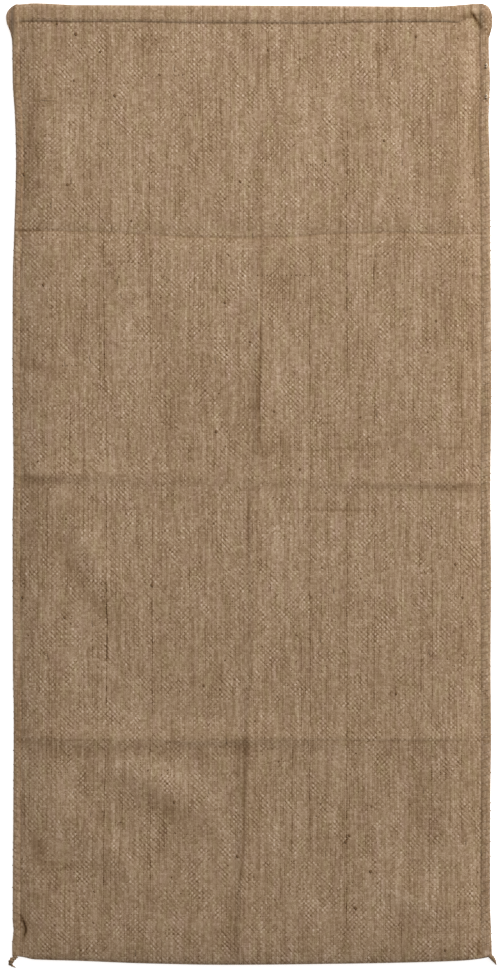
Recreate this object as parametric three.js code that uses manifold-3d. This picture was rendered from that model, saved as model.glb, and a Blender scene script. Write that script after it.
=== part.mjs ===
// Empty jute sack, 60 x 120 cm, lying flat on its back with the mouth towards +Y.
// Millimetres, +Z up. x and y run from the middle of the sack, z from the floor.
// One length of cloth is folded at the bottom, sewn down both sides and hemmed outwards at the mouth.
import * as THREE from "three";
import { mergeVertices } from "three/addons/utils/BufferGeometryUtils.js";
import Module from "manifold-3d";

const wasm = await Module();
wasm.setup();

// ---- Driving dimensions ----
const CLOTH = 1.6; // one layer of sacking
const HEM_LAYERS = 1.9; // what the turned-in hem adds to one wall
const BACK_HEM = 1.7; // what it lifts the back wall by, pressed flat on the floor
const PANEL_RISE = 11.8; // outer face of the front over the floor, away from the edges
const SEAM_DIP = 4.5; // outer face of the front on the line where the side seam pinches it
const FOLD_RISE = 4.2; // outer face of the front at the very edge of the bottom fold
const SEAM_LEFT = 9; // width of the left side seam
const SEAM_RIGHT = 12.5; // width of the right side seam
const SEAM_TOP = 545; // above this height the seams run straight on into the thick corners of the mouth
const PUFF = 46; // how far from the seam the front takes to rise
const PUFF_POWER = 0.9; // under 1 the front rises a little sooner
const HEM_OVER_SEAM = [0.4, 1.4]; // parts of the hem's depth over which it thins out on the side seams
const HEM_END = [0.8, 3]; // part of the seam's width where the hem's lower edge starts, and how fast
const LIFT_START = 0.5; // part of the seam's width where the back starts to lift over its hem
const EDGE_ROUND = 0.9; // rounding of the outer edges
const FOLD_WALL = 1.9; // cloth and bend left at the bottom fold
const MOUTH_PASS = 6; // how far the hollow is cut past the mouth
const SUNK = 0.4; // flat undersides start this much too low, and are then trimmed to one flat face
const TAIL_GAP = 0.3; // air between a yarn tail and the cloth
const EDGE_MIDDLE = 2.6; // height at which the rounded edges reach out furthest
const DEEPER = 4; // stretch of the body that trims the tails
const [TRIM_WIDTH, TRIM_LENGTH, TRIM_DEPTH] = [700, 1400, 10]; // block that trims undersides flat
const SAME_POINT = 1e-4; // points nearer than this are one

// ---- Outline ----
// Each table gives an edge of the sack as it lies. The sides run from the bottom fold up to the mouth.
const LEFT_SIDE = [
  { y: -600, x: -299 },
  { y: -575, x: -299.7 },
  { y: -556, x: -298 },
  { y: -543, x: -299 },
  { y: -400, x: -298.2 },
  { y: -293, x: -297.7 },
  { y: -220, x: -298.8 },
  { y: -43, x: -299.1 },
  { y: 7, x: -298.1 },
  { y: 156, x: -299.2 },
  { y: 256, x: -298.9 },
  { y: 313, x: -297.2 },
  { y: 407, x: -294.8 },
  { y: 457, x: -296 },
  { y: 507, x: -299 },
  { y: 554, x: -299.6 },
  { y: 567, x: -302.2 },
  { y: 578, x: -306.3 },
  { y: 585, x: -307.1 },
  { y: 591, x: -306 },
  { y: 596, x: -302.4 },
  { y: 600, x: -296 },
  { y: 602, x: -288 },
];
const RIGHT_SIDE = [
  { y: -600, x: 300.5 },
  { y: -583, x: 300.3 },
  { y: -560, x: 299.5 },
  { y: -520, x: 298.2 },
  { y: -400, x: 298.4 },
  { y: -310, x: 299.4 },
  { y: -220, x: 298.8 },
  { y: -120, x: 299.4 },
  { y: 0, x: 298.5 },
  { y: 110, x: 299.7 },
  { y: 310, x: 298.5 },
  { y: 407, x: 297.6 },
  { y: 457, x: 296.4 },
  { y: 507, x: 298 },
  { y: 547, x: 296.6 },
  { y: 558, x: 296.6 },
  { y: 569, x: 299.7 },
  { y: 577, x: 300.8 },
  { y: 585, x: 300.8 },
  { y: 592, x: 299.2 },
  { y: 598, x: 295.5 },
  { y: 602, x: 287 },
];
const BOTTOM_EDGE = [
  { x: -300, y: -588.5 },
  { x: -288, y: -589.5 },
  { x: -270, y: -593 },
  { x: -214, y: -594.7 },
  { x: -120, y: -598 },
  { x: -15, y: -599.7 },
  { x: 110, y: -598.5 },
  { x: 190, y: -597 },
  { x: 260, y: -594.5 },
  { x: 284, y: -592 },
  { x: 300, y: -588.5 },
];
const MOUTH_EDGE = [
  { x: -294, y: 600.2 },
  { x: -282, y: 601.4 },
  { x: -264, y: 600.9 },
  { x: -240, y: 599.8 },
  { x: -215, y: 598.8 },
  { x: 0, y: 598.2 },
  { x: 110, y: 597.5 },
  { x: 225, y: 596.9 },
  { x: 250, y: 597.7 },
  { x: 262, y: 598.9 },
  { x: 275, y: 599.8 },
  { x: 288, y: 601 },
];
const HEM_DEPTHS = [
  { x: -300, depth: 21.5 },
  { x: -255, depth: 20 },
  { x: -150, depth: 20 },
  { x: -60, depth: 21.2 },
  { x: 60, depth: 21.2 },
  { x: 150, depth: 19 },
  { x: 238, depth: 18.2 },
  { x: 253, depth: 20.5 },
  { x: 268, depth: 15 },
];
// Places across the sack at which the fold marks are given.
const ACROSS = [-300, -150, 0, 150, 300];

// ---- Folds ----
// Fold marks across the front, from the mouth down. y and rise are given at the five places of ACROSS.
// A rise under zero is a valley. above and below say how far its slopes reach.
const CROSS_FOLDS = [
  { name: "upper", y: [320, 313, 313, 313, 317], rise: [-2.0, -1.2, -1.0, -1.0, -1.4], above: 14, below: 18 },
  { name: "middle", y: [13, 9, 5, 2, 3], rise: [2.8, 1.2, 0.6, 1.2, 2.7], above: 26, below: 11 },
  { name: "lower", y: [-315, -318, -316, -317, -317], rise: [2.5, 1.9, 2.3, 1.2, 1.4], above: 26, below: 12 },
];
// The long fold mark down the middle, a soft ridge that is steeper on its left.
const LONG_FOLD = [
  { y: -600, x: -17, rise: 1.6 },
  { y: -470, x: -11, rise: 2.2 },
  { y: -320, x: -5, rise: 2.0 },
  { y: -150, x: 0, rise: 1.0 },
  { y: -10, x: 0, rise: 1.0 },
  { y: 40, x: 9, rise: 1.5 },
  { y: 200, x: 9, rise: 1.4 },
  { y: 330, x: 8, rise: 0.5 },
  { y: 600, x: 6, rise: 0 },
];
const LONG_FOLD_LEFT = 10; // reach of its left slope
const LONG_FOLD_RIGHT = 24; // reach of its right slope
const RIDGE_FALL = 2; // how fast a ridge falls away
const RIDGE_END = 1.6; // where it ends, in parts of its reach
const SWELL_FALL = 1.6; // how fast a broad uneven place falls away
// Broad uneven places of the front: middle, half lengths along and across, turn in degrees, rise.
const SWELLS = [
  { name: "slant below the middle fold", x: -200, y: -85, long: 110, wide: 26, turn: -62, rise: 2.2 },
  { name: "slant in the lower left", x: -112, y: -378, long: 80, wide: 30, turn: -30, rise: 2.3 },
  { name: "bottom left hollow", x: -235, y: -490, long: 65, wide: 42, turn: -50, rise: -2.0 },
  { name: "bottom left ridge", x: -185, y: -452, long: 85, wide: 24, turn: -42, rise: 1.6 },
  { name: "bottom right ridge", x: 200, y: -512, long: 80, wide: 26, turn: -26, rise: 1.9 },
  { name: "upper left hollow", x: -245, y: 500, long: 120, wide: 40, turn: 85, rise: -1.7 },
  { name: "upper right swell", x: 215, y: 110, long: 120, wide: 60, turn: 90, rise: 1.4 },
  { name: "left middle hollow", x: -215, y: 150, long: 60, wide: 45, turn: 20, rise: -1.2 },
  { name: "lower right hollow", x: 205, y: -400, long: 85, wide: 40, turn: 80, rise: -1.5 },
  { name: "upper middle swell", x: 40, y: 430, long: 110, wide: 70, turn: 80, rise: 1.0 },
];
// Thick corners of the mouth, where the hem's layers are caught in the side seams.
const CORNER_LUMPS = [
  { name: "left", x: -294, y: 583, long: 21, wide: 13, turn: 78, rise: 4.6 },
  { name: "right", x: 291, y: 584, long: 19, wide: 10, turn: 90, rise: 4.8 },
];

// ---- Sections of the edges ----
// Side seam: part of its width from the edge, height of its top and of its underside.
const SEAM_SECTION = [
  { at: 0, top: 3.5, under: 1.2 },
  { at: 0.15, top: 4.8, under: 0.2 },
  { at: 0.5, top: 5.4, under: 0 },
  { at: 0.82, top: 5.2, under: 0 },
  { at: 1, top: SEAM_DIP, under: 0 },
];
// Hem: distance from the mouth in parts of its depth, what it adds to the front and lifts the back cloth by.
const HEM_SECTION = [
  { at: 0, adds: -0.2, lifts: 0, under: 1.0 },
  { at: 0.06, adds: 1.3, lifts: 0, under: 0.1 },
  { at: 0.25, adds: HEM_LAYERS, lifts: 0, under: 0 },
  { at: 0.6, adds: 2.1, lifts: 0, under: 0 },
  { at: 0.94, adds: 1.4, lifts: 0, under: 0 },
  { at: 1, adds: -0.7, lifts: BACK_HEM, under: 0 },
  { at: 1.3, adds: -0.3, lifts: 1.4, under: 0 },
  { at: 1.9, adds: 0, lifts: 0.6, under: 0 },
  { at: 3.2, adds: 0, lifts: 0, under: 0 },
];
// Bottom fold: distance from its edge, how far the front has risen to the panel, height of the underside.
const FOLD_SECTION = [
  { at: 0, rise: 0, under: 1.3 },
  { at: 1.2, rise: 0.2, under: 0.3 },
  { at: 4, rise: 0.4, under: 0 },
  { at: 10, rise: 0.6, under: 0 },
  { at: 24, rise: 0.82, under: 0 },
  { at: 50, rise: 1, under: 0 },
];

// ---- Grid lines of the cloth ----
const BESIDE_SEAM = [4, 11, 24, PUFF]; // distances from the seam line
const SEAM_PARTS = SEAM_SECTION.map((row) => row.at);
const BESIDE_LONG_FOLD = [-26, -9, 0, 11, 34];
const BESIDE_CROSS_FOLD = [-26, -9, 0, 9, 26];
const SPARE_COLUMNS = 6; // between the puff and the long fold, on each side
const SPARE_ROWS = 6; // between two cross folds
const HOLLOW_FIRST_ROW = 2; // this row is moved to the inside of the fold's bend and starts the hollow

// ---- Small helpers ----
const mix = (a, b, part) => a + (b - a) * part;
const clamp = (value, low, high) => Math.min(high, Math.max(low, value));
const ease = (part) => part * part * (3 - 2 * part);

/** The value of one column of a table at a place, along straight lines between its rows. */
function tableAt(rows, key, at, column) {
  const last = rows.length - 1;
  if (at <= rows[0][key]) return rows[0][column];
  for (let row = 0; row < last; row++) {
    const [low, high] = [rows[row], rows[row + 1]];
    if (at <= high[key]) return mix(low[column], high[column], (at - low[key]) / (high[key] - low[key]));
  }
  return rows[last][column];
}

/** The value at x of a line given at the five places of ACROSS. */
function lineAt(values, x) {
  const step = ACROSS[1] - ACROSS[0];
  const place = clamp((x - ACROSS[0]) / step, 0, ACROSS.length - 1);
  const low = Math.min(Math.floor(place), ACROSS.length - 2);
  return mix(values[low], values[low + 1], ease(place - low));
}

/** A smooth ridge section: 1 on the crest, 0 past its reach on either side. */
function ridge(distance, reachAhead, reachBehind) {
  const reach = distance > 0 ? reachAhead : reachBehind;
  const part = clamp(distance / reach, -RIDGE_END, RIDGE_END);
  return Math.exp(-RIDGE_FALL * part ** 2) - Math.exp(-RIDGE_FALL * RIDGE_END ** 2);
}

/** A soft oval rise or hollow, turned about its middle. */
function swellAt({ x, y, long, wide, turn, rise }, atX, atY) {
  const angle = THREE.MathUtils.degToRad(turn);
  const [dx, dy] = [atX - x, atY - y];
  const along = (dx * Math.cos(angle) + dy * Math.sin(angle)) / long;
  const across = (dy * Math.cos(angle) - dx * Math.sin(angle)) / wide;
  return rise * Math.exp(-SWELL_FALL * (along ** 2 + across ** 2));
}

// ---- Where a point lies in the cloth ----
const leftEdge = (y) => tableAt(LEFT_SIDE, "y", y, "x");
const rightEdge = (y) => tableAt(RIGHT_SIDE, "y", y, "x");
const mouthAt = (x) => tableAt(MOUTH_EDGE, "x", x, "y");
const bottomAt = (x) => tableAt(BOTTOM_EDGE, "x", x, "y");
const hemDepth = (x) => tableAt(HEM_DEPTHS, "x", x, "depth");

/** Distance from the nearer side edge, with the width of the seam there. */
function sideOf(x, y) {
  const level = Math.min(y, SEAM_TOP);
  const [left, right] = [x - leftEdge(level), rightEdge(level) - x];
  return left < right ? { from: left, seam: SEAM_LEFT } : { from: right, seam: SEAM_RIGHT };
}

/** What the fold marks and uneven places add to the height of the front. */
function reliefAt(x, y) {
  let relief = 0;
  for (const fold of CROSS_FOLDS) {
    relief += lineAt(fold.rise, x) * ridge(y - lineAt(fold.y, x), fold.above, fold.below);
  }
  const [crest, rise] = ["x", "rise"].map((column) => tableAt(LONG_FOLD, "y", y, column));
  relief += rise * ridge(x - crest, LONG_FOLD_RIGHT, LONG_FOLD_LEFT);
  for (const swell of SWELLS) relief += swellAt(swell, x, y);
  return relief;
}

/** Outer face of the front without the hem: seam, puff, panel, fold marks and the bottom fold. */
function panelAt(x, y) {
  const { from, seam } = sideOf(x, y);
  const puffed = clamp((from - seam) / PUFF, 0, 1);
  const risen = Math.sin((puffed * Math.PI) / 2) ** PUFF_POWER;
  const level = mix(SEAM_DIP, PANEL_RISE + reliefAt(x, y), risen);
  const top = from < seam ? tableAt(SEAM_SECTION, "at", from / seam, "top") : level;
  return mix(FOLD_RISE, top, tableAt(FOLD_SECTION, "at", y - bottomAt(x), "rise"));
}

/** Distance from the mouth in parts of the hem's depth. */
const hemPart = (x, y) => Math.max(0, mouthAt(x) - y) / hemDepth(x);

/** What the hem adds to the front. Its lower edge ends at the side seams, where the cloth bulges over. */
function hemAt(x, y) {
  const { from, seam } = sideOf(x, y);
  const part = hemPart(x, y);
  const thinning = ease(clamp((part - HEM_OVER_SEAM[0]) / (HEM_OVER_SEAM[1] - HEM_OVER_SEAM[0]), 0, 1));
  const overSeam = HEM_LAYERS * (1 - thinning);
  const onPanel = clamp((from / seam - HEM_END[0]) * HEM_END[1], 0, 1);
  return mix(overSeam, tableAt(HEM_SECTION, "at", part, "adds"), onPanel);
}

/** Outer face of the front with the hem and the thick corners. */
function frontAt(x, y) {
  const lumps = CORNER_LUMPS.map((lump) => swellAt(lump, x, y));
  return panelAt(x, y) + hemAt(x, y) + lumps[0] + lumps[1];
}

/** Outer face of the back: on the floor, but for its rounded edges and the lift over its own hem. */
function backAt(x, y) {
  const { from, seam } = sideOf(x, y);
  const hem = hemPart(x, y);
  const rounding = Math.max(
    tableAt(SEAM_SECTION, "at", from / seam, "under"),
    tableAt(FOLD_SECTION, "at", y - bottomAt(x), "under"),
    tableAt(HEM_SECTION, "at", hem, "under"),
  );
  const lift = tableAt(HEM_SECTION, "at", hem, "lifts") * clamp(from / seam - LIFT_START, 0, 1);
  return rounding + lift > 0 ? rounding + lift : -SUNK;
}

/** Inner face of the front. */
const frontInside = (x, y) => panelAt(x, y) - CLOTH;

/** Inner face of the back, which the layers of its hem raise at the mouth. */
function backInside(x, y) {
  const hem = hemPart(x, y);
  const lift = hem < 1 ? BACK_HEM : tableAt(HEM_SECTION, "at", hem, "lifts");
  return CLOTH + (lift > 0 ? lift : -SUNK);
}

// ---- Grids ----
/** Heights of the grid's rows at a place across, from the bottom fold to the mouth. */
function rowPlaces(x) {
  const crests = CROSS_FOLDS.map((fold) => lineAt(fold.y, x)).reverse();
  const folds = crests.map((crest) => BESIDE_CROSS_FOLD.map((step) => crest + step));
  const bottom = FOLD_SECTION.map(({ at }) => bottomAt(x) + at);
  const mouth = HEM_SECTION.map(({ at }) => mouthAt(x) - at * hemDepth(x)).reverse();
  return joinBlocks([bottom, ...folds, mouth], SPARE_ROWS);
}

/** Places of the grid's columns at a height, from the left edge to the right one. */
function columnPlaces(y) {
  const crest = tableAt(LONG_FOLD, "y", y, "x");
  const [left, right] = [SEAM_LEFT, SEAM_RIGHT].map((seam) => [
    ...SEAM_PARTS.map((part) => part * seam),
    ...BESIDE_SEAM.map((step) => seam + step),
  ]);
  const blocks = [
    left.map((from) => leftEdge(y) + from),
    BESIDE_LONG_FOLD.map((step) => crest + step),
    right.map((from) => rightEdge(y) - from).reverse(),
  ];
  return joinBlocks(blocks, SPARE_COLUMNS);
}

/** One rising list of the blocks, with spare places evenly between them. */
function joinBlocks(blocks, spares) {
  const places = [...blocks[0]];
  for (const block of blocks.slice(1)) {
    const start = places.at(-1);
    for (let spare = 1; spare <= spares; spare++) places.push(mix(start, block[0], spare / (spares + 1)));
    places.push(...block);
  }
  return places;
}

const COLUMNS = columnPlaces(0).length;
const ROWS = rowPlaces(0).length;

/** The x and y of a grid point. */
function gridPoint(column, row) {
  const nominal = columnPlaces(0)[column];
  const y = rowPlaces(nominal)[row];
  return [columnPlaces(y)[column], y];
}

/** A closed box grid whose points are moved by place(column, row, layer), as merged geometry. */
function shapedGrid(columns, rows, layers, place) {
  const geometry = new THREE.BoxGeometry(columns, rows, layers, columns, rows, layers);
  geometry.deleteAttribute("normal");
  geometry.deleteAttribute("uv");
  const points = geometry.attributes.position;
  for (let index = 0; index < points.count; index++) {
    const column = Math.round(points.getX(index) + columns / 2);
    const row = Math.round(points.getY(index) + rows / 2);
    const layer = Math.round(points.getZ(index) + layers / 2);
    points.setXYZ(index, ...place(column, row, layer));
  }
  return mergeVertices(geometry, SAME_POINT);
}

/** The whole sack as if it were solid. */
function fullBody() {
  const [lastColumn, lastRow, layers] = [COLUMNS - 1, ROWS - 1, 2];
  return shapedGrid(lastColumn, lastRow, layers, (column, row, layer) => {
    const [x, y] = gridPoint(column, row);
    const z = mix(backAt(x, y), frontAt(x, y), layer / layers);
    const inset = layer === 1 ? 0 : EDGE_ROUND;
    const inX = (column === 0 ? inset : 0) - (column === lastColumn ? inset : 0);
    const inY = (row === 0 ? inset : 0) - (row === lastRow ? inset : 0);
    return [x + inX, y + inY, z];
  });
}

/** The hollow inside, cut out past the mouth. */
function hollowBody() {
  const firstColumn = SEAM_PARTS.length;
  const columns = COLUMNS - 1 - 2 * firstColumn;
  const rows = ROWS - HOLLOW_FIRST_ROW;
  return shapedGrid(columns, rows, 1, (column, row, layer) => {
    const past = row === rows;
    const [x, gridY] = gridPoint(column + firstColumn, Math.min(row + HOLLOW_FIRST_ROW, ROWS - 1));
    const y = row === 0 ? bottomAt(x) + FOLD_WALL : gridY;
    const z = layer === 0 ? backInside(x, y) : frontInside(x, y);
    return [x, past ? y + MOUTH_PASS : y, z];
  });
}

/** A merged closed geometry as a solid for cutting. */
function toSolid(geometry) {
  const vertProperties = Float32Array.from(geometry.attributes.position.array);
  const triVerts = Uint32Array.from(geometry.index.array);
  return new wasm.Manifold(new wasm.Mesh({ numProp: 3, vertProperties, triVerts }));
}

/** A wide flat block whose top is at a height, for trimming. */
function blockUpTo(height) {
  const geometry = new THREE.BoxGeometry(TRIM_WIDTH, TRIM_LENGTH, TRIM_DEPTH);
  geometry.translate(0, 0, height - TRIM_DEPTH / 2);
  geometry.deleteAttribute("normal");
  geometry.deleteAttribute("uv");
  return toSolid(mergeVertices(geometry));
}

/** A solid back as geometry. */
function toGeometry(solid) {
  const { vertProperties, triVerts } = solid.getMesh();
  const geometry = new THREE.BufferGeometry();
  geometry.setAttribute("position", new THREE.Float32BufferAttribute(vertProperties, 3));
  geometry.setIndex(new THREE.Uint32BufferAttribute(triVerts, 1));
  return geometry;
}

// ---- Yarn tails ----
// The loose ends of the side-seam yarns: middle line on the floor and half thickness at each place.
const LEFT_TAIL = [
  { x: -294, y: -588.5, radius: 3.1 },
  { x: -297.5, y: -591.5, radius: 3.3 },
  { x: -300.8, y: -594.8, radius: 3.8 },
  { x: -301.8, y: -598.2, radius: 2.9 },
  { x: -299.5, y: -600.8, radius: 1.6 },
  { x: -294.8, y: -603.4, radius: 0.5 },
];
const RIGHT_TAIL = [
  { x: 296.5, y: -587, radius: 3.2 },
  { x: 299.5, y: -589.8, radius: 3.4 },
  { x: 302.3, y: -593.4, radius: 2.9 },
  { x: 304.4, y: -596.8, radius: 1.8 },
  { x: 306, y: -600, radius: 0.5 },
];
const TAIL_FLAT = 0.68; // height of a tail over its width
const TAIL_SIDES = 12;
const TAIL_STEPS = 18;
const TAIL_PLIES = 2;
const TAIL_TURNS = 1.6;
const PLY_GROOVE = 0.16; // depth of the grooves between the plies, in parts of the radius

/** A tapered yarn of two plies twisted together, lying on the floor. */
function tailGeometry(places) {
  const path = new THREE.CatmullRomCurve3(places.map(({ x, y }) => new THREE.Vector3(x, y, 0)));
  const last = places.length - 1;
  const geometry = new THREE.CylinderGeometry(1, 1, 1, TAIL_SIDES, TAIL_STEPS);
  geometry.deleteAttribute("normal");
  geometry.deleteAttribute("uv");
  const points = geometry.attributes.position;
  for (let index = 0; index < points.count; index++) {
    const along = clamp(points.getY(index) + 0.5, 0, 1);
    const [side, up] = [points.getX(index), points.getZ(index)];
    const middle = path.getPoint(along);
    const heading = path.getTangent(along);
    const low = Math.min(Math.floor(along * last), last - 1);
    const radius = mix(places[low].radius, places[low + 1].radius, along * last - low);
    const turn = Math.atan2(up, side) - along * TAIL_TURNS * 2 * Math.PI;
    const reach = radius * (1 - PLY_GROOVE * (1 - Math.abs(Math.cos((turn * TAIL_PLIES) / 2))));
    points.setXYZ(
      index,
      middle.x + heading.y * side * reach,
      middle.y - heading.x * side * reach,
      (radius + up * reach) * TAIL_FLAT,
    );
  }
  return mergeVertices(geometry, SAME_POINT);
}

// ---- Sub-parts ----
const fullSack = toSolid(fullBody()).subtract(blockUpTo(0));
const hollow = toSolid(hollowBody()).subtract(blockUpTo(CLOTH));
const cloth = fullSack.subtract(hollow);
// The sack a gap wider and longer all round, and stretched about EDGE_MIDDLE past a tail's top and bottom.
const wider = 1 - TAIL_GAP / LEFT_SIDE[0].x;
const longer = 1 - TAIL_GAP / BOTTOM_EDGE[0].y;
const surround = fullSack.scale([wider, longer, DEEPER]).translate([0, 0, (1 - DEEPER) * EDGE_MIDDLE]);

/** A tail cut back so that it stands TAIL_GAP clear of the cloth. */
const clearTail = (places) => toGeometry(toSolid(tailGeometry(places)).subtract(surround));

const jute = { color: 0x99806a, roughness: 0.9, metalness: 0 };
const yarn = { color: 0x8a7156, roughness: 0.95, metalness: 0 };

/** One named sub-part. */
function subPart(name, geometry, finish) {
  const mesh = new THREE.Mesh(geometry, new THREE.MeshStandardMaterial(finish));
  mesh.name = name;
  return mesh;
}

const group = new THREE.Group();
group.add(subPart("sack_cloth", toGeometry(cloth), jute));
group.add(subPart("seam_tail_left", clearTail(LEFT_TAIL), yarn));
group.add(subPart("seam_tail_right", clearTail(RIGHT_TAIL), yarn));

// The origin is under the middle of the whole, on the floor.
const box = new THREE.Box3().setFromObject(group, true);
const centre = box.getCenter(new THREE.Vector3());
group.position.set(-centre.x, -centre.y, -box.min.z);
group.updateMatrixWorld(true);

export default group;
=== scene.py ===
"""Empty jute sack, 60 by 120 cm, lying flat on its back with the mouth towards +Y.

One length of sacking is folded at the bottom, sewn down both sides and hemmed outwards at the mouth.
The shape is worked out in millimetres from the middle of the sack, as its maker would measure it.
Meshes are in metres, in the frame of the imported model.
"""
import logging
import math
import random
from collections.abc import Sequence
from dataclasses import dataclass, field
from enum import Enum
from functools import reduce
from typing import Any

import bmesh
import bpy
import numpy as np
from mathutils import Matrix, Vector, noise


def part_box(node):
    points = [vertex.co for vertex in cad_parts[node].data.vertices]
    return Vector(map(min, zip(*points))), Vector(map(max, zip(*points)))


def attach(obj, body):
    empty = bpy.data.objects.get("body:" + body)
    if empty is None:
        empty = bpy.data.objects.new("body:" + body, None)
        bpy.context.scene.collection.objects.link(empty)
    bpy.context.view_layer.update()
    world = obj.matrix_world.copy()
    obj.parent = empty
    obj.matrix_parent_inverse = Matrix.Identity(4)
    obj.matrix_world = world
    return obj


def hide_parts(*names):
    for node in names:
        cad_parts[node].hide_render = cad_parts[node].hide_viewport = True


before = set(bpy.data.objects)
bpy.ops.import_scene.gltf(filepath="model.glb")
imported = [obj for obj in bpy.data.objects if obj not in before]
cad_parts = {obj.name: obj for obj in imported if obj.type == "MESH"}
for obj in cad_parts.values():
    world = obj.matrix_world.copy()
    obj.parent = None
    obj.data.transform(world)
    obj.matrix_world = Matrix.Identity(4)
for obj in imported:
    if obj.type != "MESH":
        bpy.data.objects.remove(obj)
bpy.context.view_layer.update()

LOG = logging.getLogger("sack")
MM = 0.001
# The cloth's own map, and values that its points carry: how dark it is painted for wear, staining and shade,
# with painted light below zero, how much nap covers the weave, and whether slivers may lie there.
FLAT_MAP = "flat_cloth"
SHADE = "shade"
NAPPED = "napped"
OUTSIDE = "outside"
Places = np.ndarray
Piece = bpy.types.Object
Material = bpy.types.Material
Socket = bpy.types.NodeSocket
Pair = tuple[float, float]
Colour = tuple[float, float, float]


class Face(Enum):
    """The two layers of the sack, with the way in which the flat cloth runs up them."""

    FRONT = 1
    BACK = -1


class Side(Enum):
    """The two side seams, with the sign of x on which they lie."""

    LEFT = -1
    RIGHT = 1


class Run(Enum):
    """The way in which a crease runs."""

    ACROSS = "across"
    DOWN = "down"


# ---- Tables and small helpers ----
class Table:
    """A short table with named columns, read between its rows along a smooth curve that never overshoots."""

    def __init__(self, columns: str, *rows: tuple[float, ...]) -> None:
        """Keeps the columns by name.

        Args:
            columns: the names of the columns. The first is the one that the others are read at.
            *rows: the rows, the first column rising.
        """
        values = np.array(rows, dtype=float).T
        self.columns = dict(zip(columns.split(), values))
        self.key = values[0]
        self.slopes = {name: self._slopes(column) for name, column in self.columns.items()}

    def _slopes(self, column: Places) -> Places:
        """Slopes at the rows.

        Args:
            column: the values of one column.

        Returns:
            One slope for each row, level where the values turn back.
        """
        steps = np.diff(column) / np.diff(self.key)
        before, after = steps[:-1], steps[1:]
        same = before * after > 0
        total = np.where(same, before + after, 1.0)
        inner = np.where(same, 2 * before * after / total, 0.0)
        return np.concatenate([steps[:1], inner, steps[-1:]])

    def read(self, column: str, at: Places | float) -> Places:
        """Reads one column.

        Args:
            column: the name of the column.
            at: where to read it. Past the ends it keeps the end values.

        Returns:
            The values there.
        """
        place = np.clip(at, self.key[0], self.key[-1])
        low = np.clip(np.searchsorted(self.key, place, side="right") - 1, 0, len(self.key) - 2)
        span = self.key[low + 1] - self.key[low]
        part = (place - self.key[low]) / span
        values, slopes = self.columns[column], self.slopes[column]
        start = values[low] * (1 + 2 * part) * (1 - part) ** 2 + values[low + 1] * part**2 * (3 - 2 * part)
        return start + span * (slopes[low] * part * (1 - part) ** 2 + slopes[low + 1] * part**2 * (part - 1))


def mix(first: Any, second: Any, part: Any) -> Any:
    """The value a part of the way from the first to the second."""
    return first + (second - first) * part


def ease(part: Places) -> Places:
    """A part from 0 to 1, eased at both ends."""
    return part * part * (3 - 2 * part)


# How fast the slopes of a ridge fall, and the part of their reach at which they end.
RIDGE_STEEPNESS = 2.0
RIDGE_END = 1.6


def ridge(distance: Places, ahead: float, behind: float) -> Places:
    """A smooth ridge section.

    Args:
        distance: distances from the crest.
        ahead: reach of the slope where the distance is over zero.
        behind: reach of the other slope.

    Returns:
        1 on the crest, falling to 0 at the end of either slope.
    """
    part = np.clip(distance / np.where(distance > 0, ahead, behind), -RIDGE_END, RIDGE_END)
    return np.exp(-RIDGE_STEEPNESS * part**2) - math.exp(-RIDGE_STEEPNESS * RIDGE_END**2)


def between(blocks: Sequence[Places], spares: int) -> Places:
    """Rows of places, with spare rows evenly between the blocks.

    Args:
        blocks: arrays of rows, in order.
        spares: how many rows go between two blocks.

    Returns:
        All rows in one array.
    """
    rows = [blocks[0]]
    parts = np.linspace(0, 1, spares + 2)[1:-1, None]
    for before, after in zip(blocks, blocks[1:]):
        rows += [mix(before[-1:], after[:1], parts), after]
    return np.concatenate(rows)


# ---- Shape of the sack ----
@dataclass(frozen=True)
class Waver:
    """Smooth seeded unevenness: its strength, how wide and long its lumps are, and its pattern's number."""

    strength: float
    wide: float
    long: float
    seed: float

    def at(self, x: Places, y: Places) -> Places:
        """Its values at places.

        Args:
            x: places across.
            y: places along.

        Returns:
            Values about 0, within the strength.
        """
        pairs = zip((x / self.wide).ravel(), (y / self.long).ravel())
        flat = [noise.noise(Vector((across, along, self.seed))) for across, along in pairs]
        return self.strength * np.array(flat).reshape(x.shape)


@dataclass(frozen=True)
class Swell:
    """A soft oval rise or hollow of the front: middle, half lengths, turn in degrees, rise."""

    name: str
    x: float
    y: float
    long: float
    wide: float
    turn: float
    rise: float
    steep: float = 1.6

    def at(self, x: Places, y: Places) -> Places:
        """What it adds at places of the front.

        Args:
            x: places across.
            y: places along.

        Returns:
            The added heights.
        """
        angle = math.radians(self.turn)
        along = ((x - self.x) * math.cos(angle) + (y - self.y) * math.sin(angle)) / self.long
        across = ((y - self.y) * math.cos(angle) - (x - self.x) * math.sin(angle)) / self.wide
        return self.rise * np.exp(-self.steep * (along**2 + across**2))


def ovals(name: str, *rows: tuple[float, float, float, float, float, float]) -> tuple[Swell, ...]:
    """Swells of one kind from rows of their sizes."""
    return tuple(Swell(f"{name} {number}", *row) for number, row in enumerate(rows, 1))


@dataclass(frozen=True)
class CrossFold:
    """A fold mark across the front: its height and rise at places across, and the reach of its slopes."""

    name: str
    line: Table
    above: float
    below: float

    def at(self, x: Places, y: Places) -> Places:
        """What it adds at places of the front.

        Args:
            x: places across.
            y: places along.

        Returns:
            The added heights.
        """
        return self.line.read("rise", x) * ridge(y - self.line.read("y", x), self.above, self.below)


@dataclass(frozen=True)
class Crease:
    """A narrow pressed line: its run, how deep it is pressed, how dark its wear and painted shade are, its
    half width.
    """

    name: str
    run: Run
    line: Table
    width: float

    def at(self, x: Places, y: Places) -> tuple[Places, Places]:
        """What it does at places of the front.

        Args:
            x: places across.
            y: places along.

        Returns:
            The depth and the darkness there.
        """
        along, aside = (x, y) if self.run is Run.ACROSS else (y, x)
        near = np.exp(-(((aside - self.line.read("at", along)) / self.width) ** 2))
        return self.line.read("depth", along) * near, self.line.read("dark", along) * near


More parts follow.
